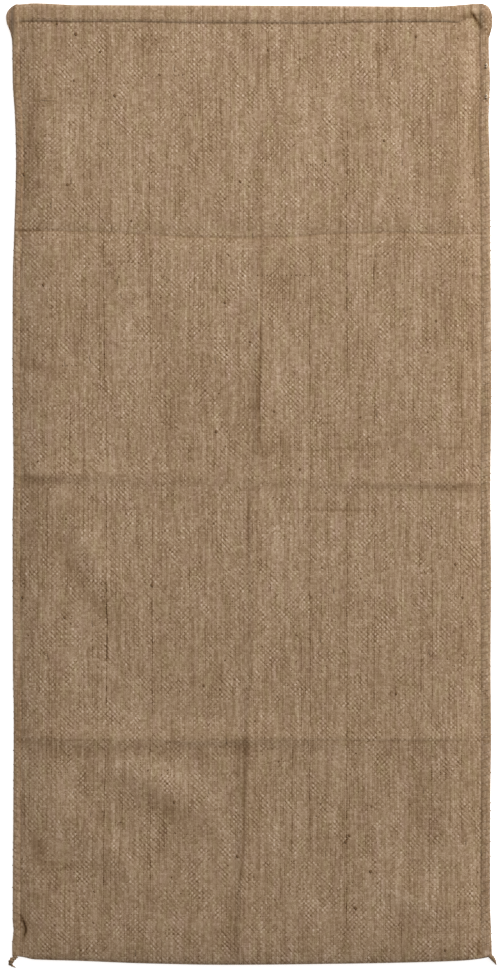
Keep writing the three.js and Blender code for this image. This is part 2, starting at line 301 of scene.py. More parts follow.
def cross_crease(name: str, width: float, *rows: tuple[float, float, float, float]) -> Crease:
    """A crease across the sack: x, place along, depth and darkness by rows."""
    return Crease(name, Run.ACROSS, Table("x at depth dark", *rows), width)


def down_crease(name: str, width: float, *rows: tuple[float, float, float, float]) -> Crease:
    """A crease down the sack: y, place across, depth and darkness by rows."""
    return Crease(name, Run.DOWN, Table("y at depth dark", *rows), width)


def cross_line(heights: Sequence[float], rises: Sequence[float]) -> Table:
    """The table of a cross fold from its heights and rises at five even places across."""
    return Table("x y rise", *zip((-300, -150, 0, 150, 300), heights, rises))


@dataclass
class SackShape:
    """Where every point of the cloth lies, in millimetres from the middle of the sack and from the floor."""

    length: float = 1200.0
    cloth: float = 1.6
    hem_layers: float = 1.9
    panel_rise: float = 11.8
    seam_widths: dict[Side, float] = field(default_factory=lambda: {Side.LEFT: 9.0, Side.RIGHT: 12.5})
    seam_top: float = 545.0
    # How far from a seam the front has risen, and how fully it bulges on the way.
    puff: float = 46.0
    puff_bulge: float = 0.9
    # Side stitches: how deep each one pulls the seam, and the pucker beside it.
    stitch_pitch: float = 9.6
    stitch_pull: float = 0.3
    pucker: float = 0.2
    pucker_reach: float = 7.0
    # Hem over a side seam: where in its depth it fades, where in the seam's width its edge and lift start.
    hem_fade: float = 0.4
    hem_edge_from: float = 0.8
    hem_edge_gain: float = 3.0
    lift_from: float = 0.5
    # Painted shade line along the hem's edge, in parts of the hem's depth.
    hem_shade_line: float = 1.04
    hem_shade_width: float = 0.08
    press_waver: Waver = Waver(0.35, 13, 1, 3.5)
    wear_and_shade_waver: Waver = Waver(0.5, 16, 16, 21.5)
    buckles: tuple[Waver, ...] = (Waver(0.3, 34, 95, 1.5), Waver(0.12, 11, 26, 7.5))
    left: Table = Table(
        "y x", (-600, -299), (-575, -299.7), (-556, -298), (-543, -299), (-400, -298.2), (-293, -297.7),
        (-220, -298.8), (-43, -299.1), (7, -298.1), (156, -299.2), (256, -298.9), (313, -297.2),
        (407, -294.8), (457, -296), (507, -299), (554, -299.6), (567, -302.2), (578, -306.3), (585, -307.1),
        (591, -306), (596, -302.4), (600, -296), (602, -288),
    )
    right: Table = Table(
        "y x", (-600, 300.5), (-583, 300.3), (-560, 299.5), (-520, 298.2), (-400, 298.4), (-310, 299.4),
        (-220, 298.8), (-120, 299.4), (0, 298.5), (110, 299.7), (310, 298.5), (407, 297.6), (457, 296.4),
        (507, 298), (547, 296.6), (558, 296.6), (569, 299.7), (577, 300.8), (585, 300.8), (592, 299.2),
        (598, 295.5), (602, 287),
    )
    bottom: Table = Table(
        "x y", (-300, -588.5), (-288, -589.5), (-270, -593), (-214, -594.7), (-120, -598), (-15, -599.7),
        (110, -598.5), (190, -597), (260, -594.5), (284, -592), (300, -588.5),
    )
    mouth: Table = Table(
        "x y", (-294, 600.2), (-282, 601.4), (-264, 600.9), (-240, 599.8), (-215, 598.8), (0, 598.2),
        (110, 597.5), (225, 596.9), (250, 597.7), (262, 598.9), (275, 599.8), (288, 601),
    )
    hem_depth: Table = Table(
        "x depth", (-300, 22), (-270, 21.4), (-235, 20.3), (-150, 20), (-60, 21.2), (60, 21.2), (150, 19),
        (238, 18.2), (253, 20.5), (268, 15),
    )
    # Edge of the hem at places across: how hard it is pressed, how dark the painted shade under it is, how
    # sharply it steps up.
    hem_press: Table = Table(
        "x press dark sharp", (-300, 0.05, 0, 1), (-284, 0.3, 0.26, 1), (-240, 0.25, 0.24, 1),
        (-190, 0.06, 0.08, 1), (-60, 0.1, 0.06, 1), (60, 0.12, 0.06, 1), (180, 0.1, 0.06, 1),
        (246, 0.12, 0.1, 1), (258, 0.02, 0.16, 1), (266, 0, 0.16, 0.4), (275, 0, 0, 0),
    )
    # Side seam: parts of its width from the edge, height of its top and of its underside.
    seam_section: Table = Table(
        "part top under", (0, 2.5, 2.5), (0.02, 3.2, 1.9), (0.08, 4.3, 1.2), (0.2, 5.0, 0.6),
        (0.35, 5.3, 0.4), (0.5, 5.4, 0.4), (0.68, 5.4, 0.4), (0.82, 5.2, 0.35), (0.93, 4.8, 0.3),
        (1.0, 4.5, 0.3), (1.3, 4.7, 0),
    )
    # Bottom fold: distance from its edge, top and underside of the fold, how far the front has risen.
    fold_section: Table = Table(
        "from top under rise", (0, 2.75, 2.75, 0), (0.3, 3.6, 1.9, 0), (0.9, 4.2, 1.0, 0.05),
        (1.6, 4.3, 0.3, 0.2), (4, 4.3, 0, 0.4), (10, 4.3, 0, 0.6), (24, 4.3, 0, 0.82), (50, 4.3, 0, 1),
    )
    cross_folds: tuple[CrossFold, ...] = (
        CrossFold("lower", cross_line((-315, -318, -316, -317, -317), (2.5, 1.9, 2.3, 1.2, 1.4)), 26, 12),
        CrossFold("middle", cross_line((13, 9, 5, 2, 3), (2.8, 1.2, 0.6, 1.2, 2.7)), 26, 11),
        CrossFold("upper", cross_line((320, 313, 313, 313, 317), (-2.0, -1.2, -1.0, -1.0, -1.4)), 14, 18),
    )
    long_fold: Table = Table(
        "y x rise", (-600, -17, 1.6), (-470, -11, 2.2), (-320, -5, 2.0), (-150, 0, 1.0), (-10, 0, 1.0),
        (40, 9, 1.5), (200, 9, 1.4), (330, 8, 0.5), (600, 6, 0),
    )
    long_fold_left: float = 10.0
    long_fold_right: float = 24.0
    swells: tuple[Swell, ...] = (
        Swell("slant below the middle fold", -200, -85, 110, 26, -62, 2.2),
        Swell("slant in the lower left", -112, -378, 80, 30, -30, 2.3),
        Swell("bottom left hollow", -235, -490, 65, 42, -50, -2.0),
        Swell("bottom left ridge", -185, -452, 85, 24, -42, 1.6),
        Swell("bottom right ridge", 200, -512, 80, 26, -26, 1.9),
        Swell("upper left hollow", -245, 500, 120, 40, 85, -1.7),
        Swell("upper right swell", 215, 110, 120, 60, 90, 1.4),
        Swell("left middle hollow", -215, 150, 60, 45, 20, -1.2),
        Swell("lower right hollow", 205, -400, 85, 40, 80, -1.5),
        Swell("upper middle swell", 40, 430, 110, 70, 80, 1.0),
    )
    corner_lumps: tuple[Swell, ...] = (
        Swell("left corner of the mouth", -294, 583, 21, 13, 78, 4.6),
        Swell("right corner of the mouth", 291, 584, 19, 10, 90, 4.8),
    )
    # Their darkness is painted: partly wear along the lines, partly the shade that falls in folds, slits,
    # notches and along the seams.
    creases: tuple[Crease, ...] = (
        cross_crease("upper fold line", 1.35,
            (-300, 319, -0.8, 0.4), (-263, 318, -0.8, 0.34), (-202, 316.5, -0.5, 0.17),
            (-127, 312.5, -0.5, 0.17), (-52, 309.5, -0.8, 0.3), (23, 309, -0.8, 0.32),
            (98, 313.5, -0.6, 0.18), (173, 315, -0.8, 0.28), (247, 314, -0.7, 0.2), (300, 315, -0.7, 0.2)),
        cross_crease("middle fold line", 5,
            (-300, 8, -0.3, 0.14), (-263, 8.5, -0.3, 0.12), (-127, 8, -0.3, 0.09), (-60, 4, -0.2, 0.05),
            (100, -1, -0.2, 0.04), (173, -3, -0.4, 0.13), (247, -1.5, -0.5, 0.19), (300, -2, -0.5, 0.18)),
        cross_crease("faint line above the middle fold", 1.9,
            (5, 40, 0, 0), (23, 41, -0.3, 0.12), (98, 44.5, -0.5, 0.24), (173, 49, -0.3, 0.12),
            (247, 47, -0.5, 0.24), (290, 46, 0, 0.05)),
        cross_crease("faint line below the middle fold", 1.5,
            (10, -31, 0, 0.08), (98, -31.6, -0.6, 0.36), (173, -33, -0.4, 0.2), (247, -33, -0.3, 0.1),
            (285, -33, 0, 0)),
        cross_crease("lower fold line", 2.3,
            (-300, -318.5, -0.4, 0.14), (-202, -319.5, -0.3, 0.04), (-127, -320, -0.4, 0.08),
            (-52, -326, -0.2, 0), (23, -319, -0.3, 0.02), (98, -319, -0.5, 0.13), (173, -320, -0.5, 0.18),
            (300, -319, -0.5, 0.14)),
        down_crease("long fold line, upper half", 1.5,
            (28, 24, 0, 0), (38, 15, -0.3, 0.2), (50, 10.4, -0.5, 0.34), (86, 9.6, -0.7, 0.34),
            (119, 9.7, -0.7, 0.36), (181, 10.9, -0.7, 0.5), (219, 10.9, -0.6, 0.34),
            (294, 10.9, -0.4, 0.24), (360, 10.7, 0, 0.06)),
        down_crease("worn beside the long fold", 4.6,
            (20, 4, 0, 0), (60, 5.5, 0, 0.12), (119, 6.5, 0, 0.22), (180, 9, 0, 0.1), (230, 9, 0, 0)),
        down_crease("line left of the long fold", 2.2,
            (-15, -3, 0, 0), (10, -7, 0, 0.1), (30, -13, -0.2, 0.1), (60, -14, -0.2, 0.12),
            (130, -13.5, 0, 0.1), (260, -12, 0, 0.1), (420, -13, 0, 0.14), (500, -14, 0, 0)),
        down_crease("long fold line, lower half", 2.4,
            (-595, -19, -0.3, 0.18), (-518, -18, -0.4, 0.26), (-456, -10.5, -0.5, 0.4),
            (-385, -9.2, -0.6, 0.46), (-330, -8, -0.5, 0.34), (-290, -7.5, -0.4, 0.3),
            (-206, -4, -0.3, 0.08), (-143, -3.5, -0.3, 0.1), (-93, -4.6, -0.5, 0.3),
            (-53, -4.6, -0.6, 0.36), (-12, -3.5, -0.4, 0.2), (8, -3, 0, 0)),
        down_crease("second line low beside the long fold", 1.8,
            (-590, -10, 0, 0.06), (-540, -10.5, 0, 0.12), (-480, -7, 0, 0.08), (-430, -4, 0, 0)),
        down_crease("fold across the right corner of the mouth", 2.7,
            (560, 300, 0, 0), (567, 294.5, -0.8, 0.5), (572.6, 286.6, -1.4, 0.75),
            (579.7, 281.6, -1.6, 0.88), (587, 277, -1.5, 0.88), (590, 275, -0.6, 0.6), (592, 274, 0, 0)),
        cross_crease("crease from the hem to the right corner", 2.8,
            (254, 583.5, 0, 0), (261, 585.5, -0.3, 0.3), (266, 586.5, -0.5, 0.4), (271, 586, -0.4, 0.3),
            (276, 585, 0, 0)),
        down_crease("notch at the left end of the hem", 2,
            (566, -287, 0, 0), (576, -287, -0.3, 0.2), (582, -286, -0.5, 0.3), (588, -289, 0, 0)),
        down_crease("slit by the left bottom corner", 1.5,
            (-574, -287, 0, 0), (-567, -285.5, -0.7, 0.6), (-556, -282.3, -0.9, 0.8),
            (-547, -284.2, -0.8, 0.8), (-538, -288, -0.4, 0.6), (-533, -289.5, 0, 0)),
        down_crease("left seam line", 2.3,
            (-590, -288, 0, 0.05), (-540, -290, 0, 0.1), (-400, -290.5, 0, 0.16), (-100, -290.5, 0, 0.14),
            (100, -291, 0, 0.18), (250, -290, 0, 0.12), (330, -288.5, 0, 0.14), (450, -287.5, 0, 0.14),
            (520, -290.5, 0, 0.16), (575, -290, 0, 0)),
        down_crease("left seam crest", 2.4,
            (-100, -293.5, 0, 0), (200, -292.5, 0, 0.06), (380, -290.5, 0, 0.1), (470, -292, 0, 0.1),
            (545, -292.5, 0, 0.2), (590, -292.5, 0, 0.14)),
        down_crease("right seam line", 1.5,
            (-590, 285, 0, 0.08), (-565, 283.5, 0, 0.16), (-540, 287, 0, 0.18), (-400, 288, 0, 0.22),
            (-340, 287.5, 0, 0.16), (-250, 285.5, 0, 0.08), (-100, 286, 0, 0.05), (60, 287, 0, 0),
            (180, 287, 0, 0), (250, 287, 0, 0.04), (330, 286, 0, 0.12), (360, 285, 0, 0.2),
            (540, 284.6, 0, 0.28), (565, 284.5, 0, 0.12)),
    )
    # How strongly the dark and pale places below show, painted shade and painted light among them.
    patch_strength: float = 1.55
    # Soft darker places, partly real staining, partly painted shade of folds, seams and loops: x, y, half
    # length, half width, turn, darkness.
    stains_and_shade: tuple[Swell, ...] = ovals(
        "stain", (-275, 444, 88, 13, 90, 0.12), (-255, 478, 13, 9, 0, 0.1), (-202, 363, 90, 7, 88, 0.09),
        (-95, 140, 150, 32, 90, 0.05), (-41, 459, 46, 8, 90, 0.09), (27, 338, 45, 5, 90, 0.07),
        (247, 420, 170, 10, 90, 0.13), (257, 125, 58, 11, 90, 0.14), (144, 444, 12, 10, 0, 0.1),
        (92, 340, 32, 7, 90, 0.09), (207, 394, 66, 8, 86, 0.07), (148, 256, 48, 10, 90, 0.08),
        (254, -231, 70, 14, 90, 0.08), (208, -406, 95, 8, 90, 0.12), (117, -425, 46, 8, 90, 0.1),
        (118, -118, 52, 8, 90, 0.07), (-42, -100, 52, 7, 90, 0.08), (-42, -225, 46, 6, 90, 0.16),
        (-13, -360, 40, 9, 90, 0.07), (-215, -116, 66, 11, -56, 0.16), (-260, -30, 46, 10, -70, 0.06),
        (-271, 6, 40, 8, 0, 0.12), (-177, -332, 120, 11, 0, 0.11), (-13, -325, 26, 17, 0, 0.12),
        (2, -345, 20, 8, -50, 0.08), (-108, -406, 66, 17, -24, 0.13), (-264, -456, 55, 15, -60, 0.16),
        (-215, -478, 42, 7, 0, 0.11), (-283, -550, 22, 8, 90, 0.12), (291, 522, 7, 4, 90, 0.2),
        (291, 484, 7, 4, 90, 0.16), (285, -576, 10, 14, 0, 0.16), (283, -581.5, 5.5, 2.2, 90, 0.3),
        (-271, 150, 32, 8, -10, 0.09), (-280, 318, 16, 8, 0, 0.12), (254, 321, 14, 7, 0, 0.09),
        (262, -4, 40, 6, 0, 0.08), (2, 110, 70, 9, 90, 0.04), (-280, 590, 12, 12, 0, 0.06),
        (-255, 590, 26, 10, 0, 0.07), (296, 584, 14, 9, 90, 0.12), (-40, 577, 14, 5, 0, 0.1),
        (-115, 558, 30, 8, 20, 0.05), (-188, -150, 30, 6, 90, 0.06), (164, 545, 13, 6, 0, 0.09),
        (273, 150, 480, 13, 90, 0.03), (0, 588, 330, 12, 0, 0.02),
    )
    # The same for paler places: partly pale cloth, partly painted light on folds, the bottom fold and the left
    # edge.
    pale_places: tuple[Swell, ...] = ovals(
        "pale place", (-225, 420, 88, 10, 88, -0.09), (-155, 260, 190, 17, 90, -0.09),
        (-145, 60, 66, 13, 90, -0.05), (34, 145, 105, 11, 90, -0.09), (32, -170, 145, 9, 90, -0.06),
        (98, 470, 75, 9, 90, -0.06), (104, -106, 66, 11, 90, -0.06), (185, -143, 115, 11, 90, -0.06),
        (192, 113, 36, 13, 90, -0.08), (230, 419, 115, 8, 90, -0.07), (-152, -281, 32, 28, 0, -0.09),
        (-96, -362, 66, 14, -18, -0.12), (-46, -402, 38, 9, -62, -0.08), (192, -515, 62, 11, -22, -0.15),
        (-246, -381, 36, 24, 90, -0.06), (60, -406, 62, 8, 90, -0.06), (32, -406, 62, 8, 90, -0.07),
        (-152, -62, 76, 14, 90, -0.06), (-215, -218, 56, 15, 90, -0.08), (268, 530, 52, 6, 90, -0.05),
        (-205, -74, 36, 13, -60, -0.07), (-177, -452, 48, 14, 30, -0.06), (0, -594, 340, 9, 0, -0.07),
        (-33, 344, 42, 6, 90, -0.06), (240, -60, 50, 12, 90, -0.06), (60, 300, 60, 10, 90, -0.04),
        (292.8, -585, 2.6, 2.2, 0, -0.6), (-296, -260, 330, 4, 90, -0.08),
    )

    def side_of(self, x: Places, y: Places) -> tuple[Places, Places]:
        """The nearer side edge.

        Args:
            x: places across.
            y: places along.

        Returns:
            The distances from it and the widths of its seam.
        """
        level = np.minimum(y, self.seam_top)
        left, right = x - self.left.read("x", level), self.right.read("x", level) - x
        widths = np.where(left < right, self.seam_widths[Side.LEFT], self.seam_widths[Side.RIGHT])
        return np.minimum(left, right), widths

    def stitch_pulse(self, y: Places) -> Places:
        """How hard the side stitches pull: 1 at each stitch, 0 between."""
        return (0.5 + 0.5 * np.cos(math.tau * y / self.stitch_pitch)) ** 2

    def relief(self, x: Places, y: Places) -> Places:
        """What fold marks, uneven places and creases add to the front.

        Args:
            x: places across.
            y: places along.

        Returns:
            The added heights.
        """
        added = sum(form.at(x, y) for form in (*self.cross_folds, *self.swells))
        added += sum(crease.at(x, y)[0] for crease in self.creases)
        away = x - self.long_fold.read("x", y)
        added += self.long_fold.read("rise", y) * ridge(away, self.long_fold_right, self.long_fold_left)
        for layer in self.buckles:
            added = added + layer.at(x, y)
        return added

    def panel(self, x: Places, y: Places) -> Places:
        """Outer face of the front without its hem.

        Args:
            x: places across.
            y: places along.

        Returns:
            The heights.
        """
        start, seam = self.side_of(x, y)
        section = self.seam_section.read("top", start / seam)
        pulse = self.stitch_pulse(y)
        pulled = self.stitch_pull * pulse * np.sin(math.pi * np.clip(start / seam, 0, 1))
        puffed = np.clip((start - seam) / self.puff, 0, 1)
        risen = np.sin(puffed * math.pi / 2) ** self.puff_bulge
        pucker = self.pucker * pulse * np.exp(-np.maximum(start - seam, 0) / self.pucker_reach)
        level = mix(section, self.panel_rise + self.relief(x, y), risen) - pucker
        fold = y - self.bottom.read("y", x)
        rise = self.fold_section.read("rise", fold)
        return mix(self.fold_section.read("top", fold), np.where(start < seam, section - pulled, level), rise)

    def hem_part(self, x: Places, y: Places) -> Places:
        """Distance from the mouth in parts of the hem's depth."""
        return np.maximum(0, self.mouth.read("y", x) - y) / self.hem_depth.read("depth", x)

    def pressed(self, x: Places) -> Places:
        """How sharply the hem's edge is pressed at places across: 1 where it is a deep line."""
        return self.hem_press.read("press", x) * (1 + self.press_waver.at(x, np.zeros_like(x)))

    def front(self, x: Places, y: Places, adds: Places) -> Places:
        """Outer face of the front.

        Args:
            x: places across.
            y: places along.
            adds: what the hem adds there, away from the side seams.

        Returns:
            The heights.
        """
        start, seam = self.side_of(x, y)
        adds = np.where(adds < 0, adds * self.pressed(x), adds)
        over_seam = self.hem_layers * (1 - ease(np.clip(self.hem_part(x, y) - self.hem_fade, 0, 1)))
        clear = np.clip((start / seam - self.hem_edge_from) * self.hem_edge_gain, 0, 1)
        hem = mix(over_seam, adds, clear * self.hem_press.read("sharp", x))
        return self.panel(x, y) + hem + sum(lump.at(x, y) for lump in self.corner_lumps)

    def back(self, x: Places, y: Places, lifts: Places) -> Places:
        """Outer face of the back, which lies on the floor.

        Args:
            x: places across.
            y: places along.
            lifts: how far the hem lifts it there, away from the side seams.

        Returns:
            The heights.
        """
        start, seam = self.side_of(x, y)
        fold = self.fold_section.read("under", y - self.bottom.read("y", x))
        under = np.maximum(self.seam_section.read("under", start / seam), fold)
        return under + lifts * np.clip(start / seam - self.lift_from, 0, 1)

    def wear_and_shade(self, x: Places, y: Places) -> Places:
        """How dark the front is painted: wear and shade in its creases and by the hem, staining, and painted
        shade and light.

        Args:
            x: places across.
            y: places along.

        Returns:
            The darkness, below zero where it is pale.
        """
        wear_and_shade = sum(crease.at(x, y)[1] for crease in self.creases)
        near_line = np.exp(-((self.hem_part(x, y) - self.hem_shade_line) / self.hem_shade_width) ** 2)
        # Painted shade under the hem's edge.
        wear_and_shade += self.hem_press.read("dark", x) * near_line
        # Staining and painted shade, with painted light where the value is below zero.
        places = sum(place.at(x, y) for place in (*self.stains_and_shade, *self.pale_places))
        return wear_and_shade * (1 + self.wear_and_shade_waver.at(x, y)) + self.patch_strength * places


# ---- Closed mesh of the cloth ----
@dataclass(frozen=True)
class Columns:
    """The columns of a skin, set out from the left edge, the long fold and the right edge.

    A column at part 0 keeps its distance from the left edge, at 1 from the long fold and at 2 from the right
    edge. The others lie between.
    """

    from_left: Places
    from_fold: Places
    from_right: Places
    part: Places

    def places(self, shape: SackShape, y: Places) -> Places:
        """Places across.

        Args:
            shape: the sack's shape.
            y: heights, with a value for each column.

        Returns:
            The places of the columns at those heights.
        """
        left = shape.left.read("x", y) + self.from_left
        fold = shape.long_fold.read("x", y) + self.from_fold
        right = shape.right.read("x", y) - self.from_right
        return np.where(self.part <= 1, mix(left, fold, self.part), mix(fold, right, self.part - 1))


class Patchwork:
    """Points and faces gathered skin by skin, with the place of every corner on the flat cloth."""

    def __init__(self) -> None:
        """Starts empty."""
        self.points: list[Places] = []
        self.count = 0
        self.faces: list[tuple[int, ...]] = []
        self.flats: list[Pair] = []

    def add_points(self, x: Places, y: Places, z: Places) -> Places:
        """Adds a block of points.

        Args:
            x: places across.
            y: places along.
            z: heights.

        Returns:
            The numbers of the points, in the same shape.
        """
        block = np.stack(np.broadcast_arrays(x, y, z), axis=-1)
        numbers = np.arange(self.count, self.count + block[..., 0].size).reshape(block.shape[:-1])
        self.points.append(block.reshape(-1, 3))
        self.count += numbers.size
        return numbers

    def add_grid(self, numbers: Places, flat: Places) -> None:
        """Joins a grid of points with faces.

        Args:
            numbers: point numbers by row and column.
            flat: places on the flat cloth, by row, column and axis.
        """
        corners = [(slice(0, -1), slice(0, -1)), (slice(0, -1), slice(1, None)),
                   (slice(1, None), slice(1, None)), (slice(1, None), slice(0, -1))]
        quads = np.stack([numbers[corner] for corner in corners], axis=-1).reshape(-1, 4)
        places = np.stack([flat[corner] for corner in corners], axis=2).reshape(-1, 2)
        self.faces += [tuple(quad) for quad in quads.tolist()]
        self.flats += [tuple(place) for place in places.tolist()]

    def zip_rows(self, first: tuple[Places, Places, Places], second: tuple[Places, Places, Places]) -> None:
        """Closes the gap between two rows with different spacing.

        Args:
            first: point numbers, places on the flat cloth and rising keys of one row.
            second: the same of the other row.
        """
        rows = (first, second)
        at = [0, 0]
        while at[0] < len(first[0]) - 1 or at[1] < len(second[0]) - 1:
            ends = [at[row] == len(rows[row][0]) - 1 for row in (0, 1)]
            ahead = [math.inf if ends[row] else rows[row][2][at[row] + 1] for row in (0, 1)]
            moving = 0 if ahead[0] <= ahead[1] else 1
            corners = [(0, at[0]), (1, at[1]), (moving, at[moving] + 1)]
            at[moving] += 1
            triangle = tuple(int(rows[row][0][place]) for row, place in corners)
            if len(set(triangle)) == 3:
                self.faces.append(triangle)
                self.flats += [tuple(rows[row][1][place]) for row, place in corners]

    def build(self, name: str, traits: dict[str, Places]) -> Piece:
        """Makes the closed mesh, with its faces outward.

        Args:
            name: the object's name.
            traits: values for each point, by name.

        Returns:
            The new object.
        """
        mesh = bpy.data.meshes.new(name)
        mesh.from_pydata(np.concatenate(self.points).tolist(), [], self.faces)
        mesh.uv_layers.new(name=FLAT_MAP).data.foreach_set("uv", np.array(self.flats).ravel())
        set_values(mesh, traits)
        turn_out(mesh)
        return link_object(name, mesh)


def set_values(mesh: bpy.types.Mesh, values: dict[str, Places]) -> None:
    """Gives the points of a mesh named values.

    Args:
        mesh: the mesh.
        values: a value for each point, by name.
    """
    for name, numbers in values.items():
        mesh.attributes.new(name, "FLOAT", "POINT").data.foreach_set("value", numbers)


def turn_out(mesh: bpy.types.Mesh) -> None:
    """Turns the faces outwards, shades them smooth and drops points that no face uses.

    Args:
        mesh: a closed mesh.
    """
    work = bmesh.new()
    work.from_mesh(mesh)
    bmesh.ops.recalc_face_normals(work, faces=work.faces)
    for face in work.faces:
        face.smooth = True
    loose = [point for point in work.verts if not point.link_faces]
    bmesh.ops.delete(work, geom=loose, context="VERTS")
    work.to_mesh(mesh)
    work.free()


def link_object(name: str, mesh: bpy.types.Mesh) -> Piece:
    """A new object in the scene.

    Args:
        name: its name.
        mesh: its mesh.

    Returns:
        The object.
    """
    piece = bpy.data.objects.new(name, mesh)
    bpy.context.scene.collection.objects.link(piece)
    return piece


# ---- Nodes ----
@dataclass(frozen=True)
class Mottle:
    """Smooth unevenness of a finish.

    Lumps to a millimetre across and along, the pattern's number, finer layers and their strength, the range
    of the noise that counts and the range that it becomes.
    """

    across: float
    along: float
    seed: float
    detail: float
    rough: float
    span: Pair
    result: Pair


class NodeDesk:
    """Adds nodes to a tree and joins them."""

    def __init__(self, tree: bpy.types.NodeTree) -> None:
        """Keeps the tree."""
        self.tree = tree

    def add(self, kind: str, inputs: dict[int | str, Any] | None = None, **settings: Any) -> bpy.types.Node:
        """Adds one node.

        Args:
            kind: the node's type.
            inputs: sockets to join or values to set, by number or name.
            **settings: the node's own settings.

        Returns:
            The node.
        """
        node = self.tree.nodes.new(kind)
        for setting, value in settings.items():
            setattr(node, setting, value)
        for key, value in (inputs or {}).items():
            if isinstance(value, Socket):
                self.tree.links.new(value, node.inputs[key])
            else:
                node.inputs[key].default_value = value
        return node

    def get(self, kind: str, inputs: dict[int | str, Any] | None = None, **settings: Any) -> Socket:
        """The first output of a new node."""
        return self.add(kind, inputs, **settings).outputs[0]

    def math(self, operation: str, *values: Socket | float) -> Socket:
        """The result of a math node on the values."""
        return self.get("ShaderNodeMath", dict(enumerate(values)), operation=operation)

    def product(self, *values: Socket | float) -> Socket:
        """The values multiplied one after another."""
        return reduce(lambda so_far, value: self.math("MULTIPLY", so_far, value), values)

    def without(self, part: Socket | float) -> Socket:
        """What is left of 1 without a part."""
        return self.math("SUBTRACT", 1.0, part)

    def vector(self, x: Socket | float, y: Socket | float, z: Socket | float = 0.0) -> Socket:
        """A vector put together from three values."""
        return self.get("ShaderNodeCombineXYZ", {0: x, 1: y, 2: z})

    def scaled(self, x: Socket, x_scale: float, y: Socket, y_scale: float, z: float = 0.0) -> Socket:
        """A vector of two scaled values, with a fixed third one that picks another pattern."""
        return self.vector(self.product(x, x_scale), self.product(y, y_scale), z)

    def noise(self, vector: Socket, scale: float = 1.0, detail: float = 2.0, rough: float = 0.5) -> Socket:
        """The value of a noise texture.

        Args:
            vector: where it is read.
            scale: lumps to a unit.
            detail: how many finer layers it has.
            rough: how strong those are.

        Returns:
            A value that is mostly from 0.2 to 0.8.
        """
        inputs = {"Vector": vector, "Scale": scale, "Detail": detail, "Roughness": rough}
        return self.get("ShaderNodeTexNoise", inputs)

    def chance(self, x: Socket, y: Socket, pattern: float = 0.0) -> Socket:
        """A random value from 0 to 1 for each pair of whole numbers."""
        return self.add("ShaderNodeTexWhiteNoise", {"Vector": self.vector(x, y, pattern)}).outputs["Value"]

    def spread(self, value: Socket, low: Any, high: Any, to_low: Any = 0.0, to_high: Any = 1.0) -> Socket:
        """A value mapped from one range to another and held inside it.

        Args:
            value: the value.
            low: start of its range.
            high: end of its range.
            to_low: result at the start.
            to_high: result at the end.

        Returns:
            The mapped value.
        """
        return self.get("ShaderNodeMapRange", {0: value, 1: low, 2: high, 3: to_low, 4: to_high})

    def mottle(self, x: Socket, y: Socket, mottle: Mottle) -> Socket:
        """Reads an unevenness.

        Args:
            x: place across.
            y: place along.
            mottle: the unevenness.

        Returns:
            A value inside its result range.
        """
        place = self.scaled(x, mottle.across, y, mottle.along, mottle.seed)
        return self.spread(self.noise(place, 1.0, mottle.detail, mottle.rough), *mottle.span, *mottle.result)

    def blend(self, part: Socket | float, first: Socket | float, second: Socket | float) -> Socket:
        """The value a part of the way from the first to the second."""
        return self.get("ShaderNodeMix", {0: part, 2: first, 3: second}, data_type="FLOAT")

    def tint(self, part: Socket | float, first: Any, second: Any, how: str = "MIX") -> Socket:
        """Two colours mixed.

        Args:
            part: how much of the second is used.
            first: a colour or socket.
            second: a colour or socket.
            how: the way of mixing.

        Returns:
            The mixed colour.
        """
        colours = [(*colour, 1.0) if isinstance(colour, tuple) else colour for colour in (first, second)]
        inputs = {0: part, 6: colours[0], 7: colours[1]}
        return self.add("ShaderNodeMix", inputs, data_type="RGBA", blend_type=how).outputs[2]


class FinishDesk(NodeDesk):
    """The nodes of one finish."""

    def __init__(self, name: str, surface: dict[str, Any]) -> None:
        """Starts a finish.

        Args:
            name: its name.
            surface: values for sockets of its main shader, by name.
        """
        self.material = bpy.data.materials.new(name)
        self.material.use_nodes = True
        super().__init__(self.material.node_tree)
        self.shader = self.tree.nodes["Principled BSDF"]
        for socket, value in surface.items():
            self.shader.inputs[socket].default_value = value

    def dress(
        self, colour: Socket, height: Socket | None = None, strength: float = 0.0, deep: float = 0.0
    ) -> None:
        """Joins the colour and the fine relief to the shader.

        Args:
            colour: the colour.
            height: the relief, where there is one.
            strength: how strongly the relief shows.
            deep: how deep it is, in millimetres.
        """
        self.tree.links.new(colour, self.shader.inputs["Base Color"])
        if height is not None:
            relief = {"Strength": strength, "Distance": deep * MM, "Height": height}
            bump = self.add("ShaderNodeBump", relief)
            self.tree.links.new(bump.outputs[0], self.shader.inputs["Normal"])


@dataclass
class YarnSet:
    """The yarns of one direction of the cloth, as sockets of a material.

    The place counted in yarns, the nearest yarn's number, the place aside from its middle, its half width and
    its tone.
    """

    count: Socket
    index: Socket
    aside: Socket
    half: Socket
    tone: Socket


@dataclass(frozen=True)
class SlackGap:
    """An opened gap between two warp yarns: its place across, its top and foot, and how dark its painted shade
    shows.
    """

    x: float
    top: float
    foot: float
    dark: float


def gaps(*rows: tuple[float, float, float, float]) -> tuple[SlackGap, ...]:
    """Opened gaps from rows of their places and darkness."""
    return tuple(SlackGap(*row) for row in rows)


# How far apart two neighbouring yarns read their unevenness, so that they aren't alike.
YARN_STRIDE = 7.31


@dataclass(frozen=True)
class YarnLay:
    """How the yarns of one direction lie: spacing, least and largest half width, how they waver and vary."""

    pitch: float
    thin: float
    thick: float
    waver: float
    uneven: float
    seed: float

    def thickness(self) -> Mottle:
        """How the half width varies along each yarn."""
        return Mottle(YARN_STRIDE, 0.03, self.seed + 13, 3.0, 0.6, (0.3, 0.7), (self.thin, self.thick))

    def tone(self) -> Mottle:
        """How the brightness varies along each yarn."""
        result = (1 - self.uneven, 1 + self.uneven)
        return Mottle(YARN_STRIDE, 0.013, self.seed + 19, 3.0, 0.6, (0.25, 0.75), result)


